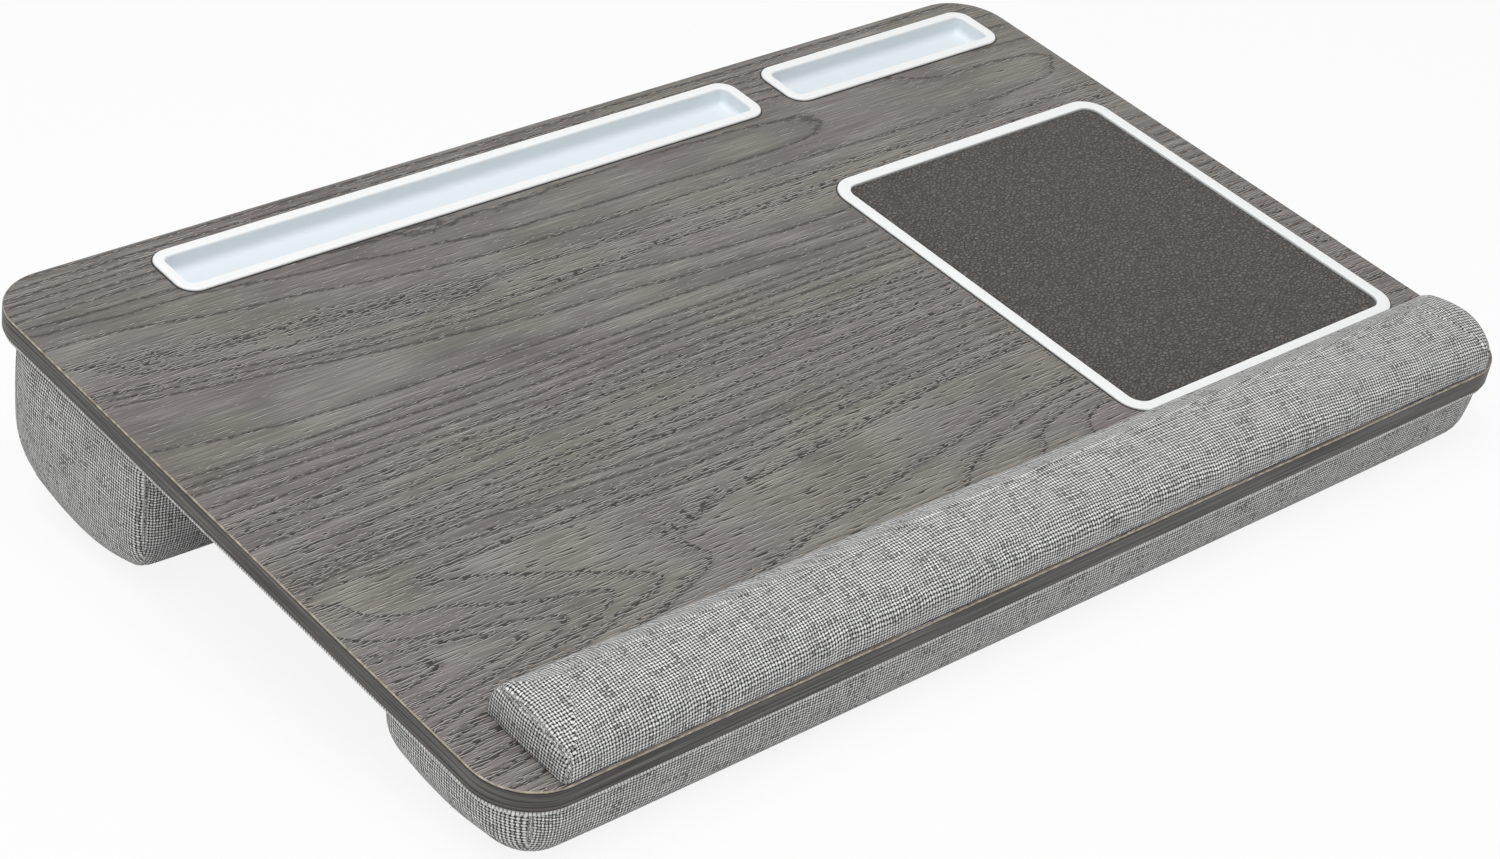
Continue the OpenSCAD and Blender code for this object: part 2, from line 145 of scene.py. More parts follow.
def board_point(tree: bpy.types.NodeTree, scale: tuple[float, float, float]) -> bpy.types.NodeSocket:
    """Gives a point's place in the board's frame, in millimetres times a scale for each axis.

    The object's coordinates are turned back by the slope and moved so that the board's middle is the
    origin, and then scaled.

    Args:
        tree: the graph.
        scale: factors along the board's X, Y and Z.

    Returns:
        The vector output.
    """
    c, s = math.cos(PLANE.tilt), math.sin(PLANE.tilt)
    y, z = PLANE.shift / 1000, PLANE.height / 1000
    flat = add(tree, "Mapping", {
        "Vector": add(tree, "TexCoord", out="Object"),
        "Location": (0, -(y * c + z * s), y * s - z * c),
        "Rotation": (-PLANE.tilt, 0, 0),
    })
    return add(tree, "Mapping", {"Vector": flat, "Scale": [1000 * v for v in scale]})


class Finish:
    """A surface finish. A subclass draws its shader graph in draw."""

    title = "finish"

    def draw(self, tree: bpy.types.NodeTree) -> dict:
        """Adds the nodes of the finish and returns the inputs of the principled shader."""
        raise NotImplementedError

    def material(self) -> bpy.types.Material:
        """Makes the material, once for each title, and returns it."""
        made = bpy.data.materials.get(self.title)
        if made is None:
            made = bpy.data.materials.new(self.title)
            made.use_nodes = True
            tree = made.node_tree
            tree.nodes.clear()
            shader = add(tree, "BsdfPrincipled", self.draw(tree))
            add(tree, "OutputMaterial", {"Surface": shader}, out=None)
        return made


@dataclass(frozen=True)
class OakDecor(Finish):
    """Oak decor paper, printed, pressed under melamine resin with open pores.

    To the eye it is matt and grey-brown, with dark ring lines, and with short dark pores along X that
    crowd behind each line, each with a light edge that is a painted highlight of the embossed resin. The
    real pores are about 0.2 mm wide and are drawn about 0.5 mm wide, so that they show.
    """

    title: str = "melamine_oak_decor"
    line_mm: float = 1.3
    band_mm: float = 7.5
    pore_wide_mm: float = 0.52

    def pores(self, tree: bpy.types.NodeTree, long_mm: float, crowd: bpy.types.NodeSocket) -> list:
        """Draws dashes of one length, and the same moved aside for their painted highlights.

        Args:
            tree: the graph.
            long_mm: length of a dash.
            crowd: level of the noise over which there is a dash.

        Returns:
            The outputs of the dashes and of their painted highlights.
        """
        found = []
        for aside in (0.0, 0.7):
            where = add(tree, "Mapping", {
                "Vector": board_point(tree, (1 / long_mm, 1 / self.pore_wide_mm, 0)),
                "Location": (long_mm, aside, 0),
            })
            dash = add(tree, "TexNoise", {"Vector": where, "Scale": 0.62, "Detail": 1.5})
            dash = add(tree, "Math", (dash, crowd), operation="SUBTRACT")
            found.append(add(tree, "MapRange", (dash, 0.0, 0.05), interpolation_type="SMOOTHSTEP"))
        # The dash moved aside, less the dash itself, is a painted highlight beside it.
        found[1] = add(tree, "Math", (found[1], found[0]), operation="SUBTRACT", use_clamp=True)
        return found

    def draw(self, tree: bpy.types.NodeTree) -> dict:
        """Draws the rings from the mesh's ring numbers.

        Two noises bend the ring number. What is left after rounding it, over its change for each
        millimetre, is the distance to the nearest line, which is below zero behind the line.
        """
        ring = add(tree, "Attribute", attribute_name="ring", out="Fac")
        rate = add(tree, "Attribute", attribute_name="ring_rate", out="Fac")
        openness = add(tree, "Attribute", attribute_name="pores", out="Fac")
        for scale, strength in (((0.03, 0.12, 0), 0.16), ((0.16, 0.7, 0), 0.10)):
            bend = add(tree, "TexNoise", {"Vector": board_point(tree, scale), "Scale": 1.0, "Detail": 2.0})
            bend = add(tree, "Math", (bend, -0.5), operation="ADD")
            ring = add(tree, "Math", (bend, strength, ring), operation="MULTIPLY_ADD")
        off = add(tree, "Math", (ring, add(tree, "Math", (ring,), operation="ROUND")), operation="SUBTRACT")
        gap = add(tree, "Math", (off, rate), operation="DIVIDE")
        late = add(tree, "Math", (
            add(tree, "MapRange", (gap, -self.band_mm, -0.5, 0.0, 1.0)),
            add(tree, "MapRange", (gap, 0.3, 1.4, 1.0, 0.0)),
        ), operation="MINIMUM")
        band = add(tree, "Math", (late, openness), operation="MULTIPLY")
        short, short_pore_highlight = self.pores(tree, 3.4, add(tree, "MapRange", (band, 0.0, 0.8, 0.69, 0.5)))
        long, long_pore_highlight = self.pores(tree, 9.0, add(tree, "MapRange", (openness, 0.1, 0.9, 0.68, 0.57)))
        pores = add(tree, "Math", (short, long), operation="MAXIMUM")
        # Painted highlight beside each pore, where the embossed resin would catch the light.
        edge = add(tree, "Math", (short_pore_highlight, long_pore_highlight), operation="MAXIMUM")
        stipple = add(tree, "TexNoise", {"Vector": board_point(tree, (0.4, 1.0, 0)), "Scale": 1.0})
        stipple = add(tree, "MapRange", (stipple, 0.4, 0.56, 0.5, 1.0))
        reach = add(tree, "Math", (gap,), operation="ABSOLUTE")
        line = add(tree, "MapRange", (reach, 0.1, self.line_mm, 1.0, 0.0), interpolation_type="SMOOTHSTEP")
        line = add(tree, "Math", (line, stipple), operation="MULTIPLY")
        fibre = board_point(tree, (0.03, 1.2, 0))
        fibre = add(tree, "TexNoise", {"Vector": fibre, "Scale": 1.0, "Detail": 4.0})
        colour = add(tree, "ValToRGB", {"Fac": fibre},
                     stops=((0.3, "676360"), (0.5, "827E7A"), (0.7, "9D9994")))
        x = add(tree, "SeparateXYZ", (board_point(tree, (0.012, 1, 1)),))
        rings = add(tree, "CombineXYZ", (add(tree, "Math", (ring, 0.8), operation="MULTIPLY"), x, 0.0))
        for where, stops in ((rings, ((0.34, "D9D6D8"), (0.5, "F2F1F0"), (0.64, "FFFFFF"))),
                             (board_point(tree, (0.009, 0.02, 0)),
                              ((0.38, "F8F8EF"), (0.5, "FDFDFD"), (0.62, "F4EFF5")))):
            tone = add(tree, "TexNoise", {"Vector": where, "Scale": 1.0, "Detail": 2.0})
            tone = add(tree, "ValToRGB", {"Fac": tone}, stops=stops)
            colour = add(tree, "Mix", {0: 1.0, 6: colour, 7: tone}, out=2, data_type="RGBA",
                         blend_type="MULTIPLY")
        # C9C4BE is the painted highlight beside the pores.
        for amount, code, share in ((late, "5A5553", 0.5), (line, "35302E", 0.95), (edge, "C9C4BE", 0.7),
                                    (pores, "2A2624", 0.9)):
            part = add(tree, "Math", (amount, share), operation="MULTIPLY")
            colour = add(tree, "Mix", {0: part, 6: colour, 7: code}, out=2, data_type="RGBA")
        sunk = add(tree, "Math", (line, 0.4, pores), operation="MULTIPLY_ADD")
        return {
            "Base Color": colour,
            "Roughness": add(tree, "MapRange", (pores, 0.0, 1.0, 0.5, 0.66)),
            "Specular IOR Level": 0.35,
            "Normal": add(tree, "Bump", {"Height": sunk, "Strength": 0.4, "Distance": 0.0002}, invert=True),
        }


@dataclass(frozen=True)
class CutArris(Finish):
    """Cut edge of the laminate. Its raw paper core shows as a pale line round the board."""

    title: str = "cut_laminate_arris"

    def draw(self, tree: bpy.types.NodeTree) -> dict:
        """Varies the pale core a little along the edge."""
        wear = add(tree, "TexNoise", {"Vector": board_point(tree, (0.25, 0.25, 0.25)), "Scale": 1.0})
        colour = add(tree, "ValToRGB", {"Fac": wear},
                     stops=((0.35, "8C8272"), (0.5, "A99F8E"), (0.7, "CCC2B0")))
        return {"Base Color": colour, "Roughness": 0.6}


@dataclass(frozen=True)
class EdgeBandDecor(Finish):
    """Extruded ABS edge band, printed with grain along its length.

    To the eye it is darker and a little glossier than the face. A dark line at both edges is the adhesive
    joint, deepened with painted shade where the band meets the laminate and the hem.
    """

    title: str = "abs_edge_band"
    height_mm: float = 9.9

    def draw(self, tree: bpy.types.NodeTree) -> dict:
        """Draws streaks along U and paints shade into the first and the last half millimetre of V."""
        uv = add(tree, "UVMap", uv_map="mm")
        v = add(tree, "SeparateXYZ", (uv,), out=1)
        streak = add(tree, "Mapping", {"Vector": uv, "Scale": (0.015, 0.9, 1)})
        grain = add(tree, "TexNoise", {"Vector": streak, "Scale": 1.0, "Detail": 4.0})
        colour = add(tree, "ValToRGB", {"Fac": grain},
                     stops=((0.34, "292826"), (0.5, "4B4946"), (0.66, "6C6964")))
        # Painted shade: a dark line along the band's top and bottom edges, at its joints with the laminate
        # and the hem.
        high = add(tree, "MapRange", (v, 0.35, 0.9, 1.0, 0.0))
        low = add(tree, "MapRange", (v, self.height_mm - 1.0, self.height_mm - 0.5, 0.0, 1.0))
        joint_shade = add(tree, "Math", (high, low), operation="MAXIMUM")
        joint_shade = add(tree, "Math", (joint_shade, 0.85), operation="MULTIPLY")
        return {
            "Base Color": add(tree, "Mix", {0: joint_shade, 6: colour, 7: "1F1E1C"}, out=2, data_type="RGBA"),
            "Roughness": 0.5,
            "Specular IOR Level": 0.35,
            "Normal": add(tree, "Bump", {"Height": grain, "Strength": 0.15, "Distance": 0.0002}),
        }


@dataclass(frozen=True)
class MouldedABS(Finish):
    """Injection-moulded white ABS.

    To the eye it is satin and bright on its rim. Below the board's face the moulding has a cool, darker
    tone, which is painted shade of the deep well.
    """

    title: str = "moulded_white_abs"
    rim: str = "FAFBFB"
    # Tone of the well: the rim's white with painted shade.
    well: str = "E4ECF0"

    def draw(self, tree: bpy.types.NodeTree) -> dict:
        """Paints cool shade below the board's face and gives the skin a fine moulded grain."""
        z = add(tree, "SeparateXYZ", (board_point(tree, (1, 1, 1)),), out=2)
        # Painted shade: the tone turns from the rim's to the darker, cooler well's below the board's face.
        deep = add(tree, "MapRange", (z, 0.9, -0.6))
        skin = add(tree, "TexNoise", {"Vector": board_point(tree, (1.6, 1.6, 1.6)), "Scale": 1.0})
        return {
            "Base Color": add(tree, "Mix", {0: deep, 6: self.rim, 7: self.well}, out=2, data_type="RGBA"),
            "Roughness": add(tree, "MapRange", (skin, 0.0, 1.0, 0.3, 0.42)),
            "IOR": 1.53,
            "Normal": add(tree, "Bump", {"Height": skin, "Strength": 0.06, "Distance": 0.0002}),
        }


@dataclass(frozen=True)
class PebbledLeather(Finish):
    """Artificial leather, embossed with a pebble grain.

    To the eye it is dark, warm and almost matt, with soft pebbles between fine winding creases. The
    colour follows the height: painted shade in the creases and a painted highlight on the pebbles.
    """

    title: str = "embossed_dark_leather"
    pebble_mm: float = 2.4

    def draw(self, tree: bpy.types.NodeTree) -> dict:
        """Raises pebbles between creases, which are the borders of cells bent by a noise."""
        place = board_point(tree, (1 / self.pebble_mm, 1.3 / self.pebble_mm, 1 / self.pebble_mm))
        bend = add(tree, "TexNoise", {"Vector": place, "Scale": 0.45, "Detail": 3.0}, out="Color")
        bent = add(tree, "VectorMath", (bend, (1.7, 1.7, 1.7), place), operation="MULTIPLY_ADD")
        cells = add(tree, "TexVoronoi", {"Vector": bent, "Scale": 1.0}, feature="DISTANCE_TO_EDGE")
        crease = add(tree, "MapRange", (cells, 0.0, 0.2), interpolation_type="SMOOTHSTEP")
        wave = add(tree, "TexNoise", {"Vector": place, "Scale": 0.5, "Detail": 4.0, "Distortion": 1.2})
        height = add(tree, "Math", (wave, 1.2, crease), operation="MULTIPLY_ADD")
        # Painted shade and highlight: the colour is dark low in the creases and light on the pebbles' tops.
        shade = add(tree, "MapRange", (height, 0.5, 1.8))
        return {
            "Base Color": add(tree, "ValToRGB", {"Fac": shade},
                              stops=((0.0, "262321"), (0.45, "443F3C"), (1.0, "605A56"))),
            "Roughness": 0.45,
            "Specular IOR Level": 0.5,
            "Normal": add(tree, "Bump", {"Height": height, "Strength": 1.0, "Distance": 0.0009}),
        }


@dataclass(frozen=True)
class HeatherWeave(Finish):
    """Plain-woven polyester with a linen look, of light and dark grey yarns.

    To the eye it is a soft matt grey with a fine salt-and-pepper weave. The real yarns are about
    0.6 mm apart and are drawn 1.55 mm apart, so that the weave shows.
    """

    title: str = "heather_grey_weave"
    yarn_mm: float = 1.55
    slub_mm: float = 14.0
    light: str = "FFFFFE"
    mid: str = "E2E2E1"
    low: str = "9E9E9D"
    # Tone of the painted shade between the yarns.
    dark: str = "262626"

    def draw(self, tree: bpy.types.NodeTree) -> dict:
        """Lays warp yarns along V over weft yarns along U, turn about in a chequer.

        A yarn's height is the sine of the place across it, lowered where it goes under. Each yarn has
        its own tone, which changes along it, and the low places between the yarns get painted shade.
        """
        uv = add(tree, "UVMap", uv_map="mm")
        waver = add(tree, "TexNoise", {"Vector": uv, "Scale": 0.05, "Detail": 2.0}, out="Color")
        uv = add(tree, "VectorMath", (waver, (3.0, 3.0, 0), uv), operation="MULTIPLY_ADD")
        scaled = add(tree, "Mapping", {"Vector": uv, "Scale": (1 / self.yarn_mm, 1 / self.yarn_mm, 1)})
        at = add(tree, "SeparateXYZ", (scaled,), out=None)
        heights, tones = [], []
        for across, along, sign in ((0, 1, 1), (1, 0, -1)):
            turn = add(tree, "Math", (at.outputs[across], math.pi), operation="MULTIPLY")
            body = add(tree, "Math", (add(tree, "Math", (turn,), operation="SINE"),), operation="ABSOLUTE")
            number = add(tree, "Math", (at.outputs[across],), operation="FLOOR")
            step = add(tree, "Math", (number, at.outputs[along]), operation="ADD")
            step = add(tree, "Math", (step, math.pi), operation="MULTIPLY")
            lift = add(tree, "Math", (step,), operation="SINE")
            lift = add(tree, "Math", (lift, 0.4 * sign, 0.6), operation="MULTIPLY_ADD")
            heights.append(add(tree, "Math", (body, lift), operation="MULTIPLY"))
            run = add(tree, "Math", (at.outputs[along], self.yarn_mm / self.slub_mm), operation="MULTIPLY")
            number = add(tree, "Math", (number, 0.83), operation="MULTIPLY")
            lie = add(tree, "CombineXYZ", (number, run, across * 9.0))
            tones.append(add(tree, "TexNoise", {"Vector": lie, "Scale": 1.0, "Detail": 3.0}))
        over = add(tree, "Math", tuple(heights), operation="GREATER_THAN")
        height = add(tree, "Math", tuple(heights), operation="MAXIMUM")
        tone = add(tree, "Mix", {0: over, 2: tones[1], 3: tones[0]})
        shade = add(tree, "MapRange", (tone, 0.3, 0.62))
        yarn = add(tree, "ValToRGB", {"Fac": shade},
                   stops=((0.0, self.low), (0.45, self.mid), (1.0, self.light)))
        # Painted shade: dark where the yarns are low, between them.
        gap = add(tree, "MapRange", (height, 0.38, 0.8))
        return {
            "Base Color": add(tree, "Mix", {0: gap, 6: self.dark, 7: yarn}, out=2, data_type="RGBA"),
            "Roughness": 0.95,
            "Specular IOR Level": 0.2,
            "Normal": add(tree, "Bump", {"Height": height, "Strength": 0.6, "Distance": 0.0005}),
        }


@dataclass(frozen=True)
class RibbedHem(Finish):
    """Turned hem of the underside panel. To the eye it is a light cord with a rib for each yarn."""

    title: str = "ribbed_fabric_hem"
    rib_mm: float = 1.6

    def draw(self, tree: bpy.types.NodeTree) -> dict:
        """Raises round ribs across U, with a dark line of painted shade between them."""
        u = add(tree, "SeparateXYZ", (add(tree, "UVMap", uv_map="mm"),))
        turn = add(tree, "Math", (u, math.pi / self.rib_mm), operation="MULTIPLY")
        rib = add(tree, "Math", (add(tree, "Math", (turn,), operation="SINE"),), operation="ABSOLUTE")
        tone = add(tree, "TexNoise", {"Vector": board_point(tree, (0.3, 0.3, 0.3)), "Scale": 1.0})
        yarn = add(tree, "ValToRGB", {"Fac": tone}, stops=((0.35, "DADAD8"), (0.65, "FFFFFE")))
        # Painted shade: dark between the ribs, where they are low.
        gap = add(tree, "MapRange", (rib, 0.15, 0.65))
        return {
            "Base Color": add(tree, "Mix", {0: gap, 6: "7C7C7A", 7: yarn}, out=2, data_type="RGBA"),
            "Roughness": 0.9,
            "Normal": add(tree, "Bump", {"Height": rib, "Strength": 0.6, "Distance": 0.0005}),
        }


@dataclass(frozen=True)
class SewnSeam(Finish):
    """Turned lips of a seam, sewn with grey thread, with painted shade as a dark dashed line between them."""

    title: str = "sewn_seam"
    stitch_mm: float = 3.2

    def draw(self, tree: bpy.types.NodeTree) -> dict:
        """Paints shade into the middle of V and lets a dash of thread show for each stitch along U."""
        at = add(tree, "SeparateXYZ", (add(tree, "UVMap", uv_map="mm"),), out=None)
        side = add(tree, "Math", (at.outputs[1],), operation="ABSOLUTE")
        # Painted shade in the groove between the lips, broken where a stitch of thread shows.
        painted_groove_shade = add(tree, "MapRange", (side, 0.15, 0.55, 1.0, 0.0))
        turn = add(tree, "Math", (at.outputs[0], 2 * math.pi / self.stitch_mm), operation="MULTIPLY")
        dash = add(tree, "MapRange", (add(tree, "Math", (turn,), operation="SINE"), -0.6, 0.2, 0.35, 1.0))
        dark = add(tree, "Math", (painted_groove_shade, dash), operation="MULTIPLY")
        tone = add(tree, "TexNoise", {"Vector": board_point(tree, (0.7, 0.7, 0.7)), "Scale": 1.0})
        cloth = add(tree, "ValToRGB", {"Fac": tone}, stops=((0.35, "6E6E6D"), (0.65, "C0C0BE")))
        return {
            "Base Color": add(tree, "Mix", {0: dark, 6: cloth, 7: "1E1E1E"}, out=2, data_type="RGBA"),
            "Roughness": 0.95,
        }


@dataclass(frozen=True)
class Grained(Finish):
    """A material that hardly shows, with a grain of its own: pressed fibre, foam or extruded sheet."""

    title: str = "pressed_fibreboard"
    dark: str = "8F7B5E"
    light: str = "B7A380"
    grain_mm: float = 1.5
    rough: float = 0.85
    relief: float = 0.3

    def draw(self, tree: bpy.types.NodeTree) -> dict:
        """Mixes two tones by a noise as coarse as the grain and raises it."""
        grain = add(tree, "TexNoise", {
            "Vector": board_point(tree, (1 / self.grain_mm,) * 3), "Scale": 1.0, "Detail": 4.0,
        })
        return {
            "Base Color": add(tree, "ValToRGB", {"Fac": grain},
                              stops=((0.35, self.dark), (0.65, self.light))),
            "Roughness": self.rough,
            "Normal": add(tree, "Bump", {"Height": grain, "Strength": self.relief, "Distance": 0.0004}),
        }


# Meshes


def grid_faces(rows: int, cols: int, wrap_rows: bool = False) -> np.ndarray:
    """Quads of a grid whose columns close on themselves.

    Args:
        rows: number of rings.
        cols: number of points in a ring.
        wrap_rows: whether the last ring joins the first.

    Returns:
        One row of four point numbers for each quad, ring after ring.
    """
    k = np.arange(rows if wrap_rows else rows - 1)[:, None]
    j = np.arange(cols)[None, :]
    nk, nj = (k + 1) % rows, (j + 1) % cols
    quads = np.stack(np.broadcast_arrays(k * cols + j, k * cols + nj, nk * cols + nj, nk * cols + j), axis=-1)
    return quads.reshape(-1, 4)


def build_piece(name: str, points: np.ndarray, faces: list, corners: np.ndarray, finishes: list[Finish],
                slots: np.ndarray | None = None, sharp: float = 180.0) -> bpy.types.Object:
    """Makes a mesh object from points of the board's frame.

    Args:
        name: name of the piece.
        points: points in the board's frame, in millimetres.
        faces: lists of point numbers.
        corners: U and V in millimetres for each corner of each face, in order.
        finishes: finishes of the material slots.
        slots: slot number of each face, or None for the first slot.
        sharp: angle in degrees above which an edge is drawn sharp.

    Returns:
        The object, with its place in its mesh.
    """
    mesh = bpy.data.meshes.new(name)
    mesh.from_pydata(PLANE.place(points).tolist(), [], faces)
    layer = mesh.uv_layers.new(name="mm")
    layer.data.foreach_set("uv", np.asarray(corners, dtype=np.float32).ravel())
    for finish in finishes:
        mesh.materials.append(finish.material())
    if slots is not None:
        mesh.polygons.foreach_set("material_index", np.asarray(slots, dtype=np.int32))
    mesh.polygons.foreach_set("use_smooth", np.ones(len(faces), dtype=bool))
    mesh.set_sharp_from_angle(angle=math.radians(sharp))
    mesh.update()
    made = bpy.data.objects.new(name, mesh)
    bpy.context.scene.collection.objects.link(made)
    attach(made, BODY)
    return made


@dataclass(frozen=True)
class RoundRect:
    """Rectangle with round corners, in the plane of the board."""

    x: float
    y: float
    width: float
    depth: float
    radius: float
    steps: int = 14
    runs: int = 1

    def loop(self, inset: np.ndarray) -> np.ndarray:
        """Outlines that keep their distance from the rectangle's edge.

        A corner is an arc about its own middle, whose radius shrinks with the inset and stays over
        0.3 mm. A side is a straight run from the end of one arc to the start of the next.

        Args:
            inset: distance inwards of each outline.

        Returns:
            Array of outlines by points by X and Y, counter-clockwise.
        """
        inset = np.atleast_1d(np.asarray(inset, dtype=float))[:, None, None]
        r = np.maximum(self.radius - inset, 0.3)
        turn = np.linspace(0, math.pi / 2, self.steps)[None, None, :]
        start = np.arange(4)[None, :, None] * math.pi / 2
        sx = np.array([1, -1, -1, 1])[None, :, None]
        sy = np.array([1, 1, -1, -1])[None, :, None]
        px = self.x + sx * (self.width / 2 - inset - r) + r * np.cos(start + turn)
        py = self.y + sy * (self.depth / 2 - inset - r) + r * np.sin(start + turn)
        arcs = np.stack([px, py], axis=-1)
        share = (np.arange(1, self.runs) / self.runs)[None, None, :, None]
        ends, starts = arcs[:, :, -1:], np.roll(arcs[:, :, :1], -1, axis=1)
        return np.concatenate([arcs, ends + (starts - ends) * share], axis=2).reshape(len(r), -1, 2)

    def distance(self, points: np.ndarray) -> np.ndarray:
        """Distance from each point to the edge, below zero inside.

        It is the length of what a point's place in its quarter has over the corner's middle, less the
        radius.
        """
        half = np.array([self.width / 2 - self.radius, self.depth / 2 - self.radius])
        over = np.abs(points[:, :2] - (self.x, self.y)) - half
        return np.linalg.norm(np.maximum(over, 0), axis=1) + np.minimum(over.max(axis=1), 0) - self.radius

    def sweep(self, profile: list[tuple[float, float]]) -> np.ndarray:
        """Carries a profile round the outline.

        Args:
            profile: distance inwards and level of each of its points.

        Returns:
            Array of rings by points by X, Y and Z.
        """
        steps = np.array(profile, dtype=float)
        flat = self.loop(steps[:, 0])
        level = np.broadcast_to(steps[:, 1][:, None, None], (*flat.shape[:2], 1))
        return np.concatenate([flat, level], axis=2)


def ring_corners(rings: np.ndarray, quads: np.ndarray) -> np.ndarray:
    """U along the outermost ring and V down the profile for each corner of a swept piece's quads."""
    count = rings.shape[1]
    along = np.linalg.norm(np.diff(rings[0], axis=0, append=rings[0][:1]), axis=1)
    u = np.concatenate([[0], np.cumsum(along)])
    down = np.linalg.norm(np.diff(rings, axis=0), axis=2).max(axis=1)
    v = np.concatenate([[0], np.cumsum(down)])
    j = quads % count
    last = (j == 0) & (np.roll(j, 1, axis=1).max(axis=1, keepdims=True) == count - 1)
    j = np.where(last, count, j)
    return np.stack([u[j], v[quads // count]], axis=-1)


def arc(cx: float, cy: float, r: float, start: float, end: float, steps: int = 6) -> list[tuple]:
    """Points of an arc in a profile, its angles in degrees."""
    turn = np.radians(np.linspace(start, end, steps))
    return list(zip((cx + r * np.cos(turn)).tolist(), (cy + r * np.sin(turn)).tolist()))


def swept_solid(name: str, shape: RoundRect, profile: list, finishes: list[Finish], closed: bool,
                sharp: float = 40.0) -> bpy.types.Object:
    """Makes a solid from a profile carried round an outline.

    Args:
        name: name of the piece.
        shape: the outline.
        profile: distance inwards and level of its points.
        finishes: finishes of the material slots.
        closed: whether the profile closes on itself; otherwise both its ends get a flat face.
        sharp: angle in degrees above which an edge is drawn sharp.

    Returns:
        The piece.
    """
    rings = shape.sweep(profile)
    rows, cols = rings.shape[:2]
    quads = grid_faces(rows, cols, closed)
    corners = ring_corners(np.concatenate([rings, rings[:1]]) if closed else rings, quads).reshape(-1, 2)
    faces = quads.tolist()
    if not closed:
        for ring, order in ((0, -1), (rows - 1, 1)):
            face = (ring * cols + np.arange(cols))[::order]
            faces.append(face.tolist())
            corners = np.concatenate([corners, rings.reshape(-1, 3)[face][:, :2]])
    return build_piece(name, rings.reshape(-1, 3), faces, corners, finishes, sharp=sharp)


# The desk


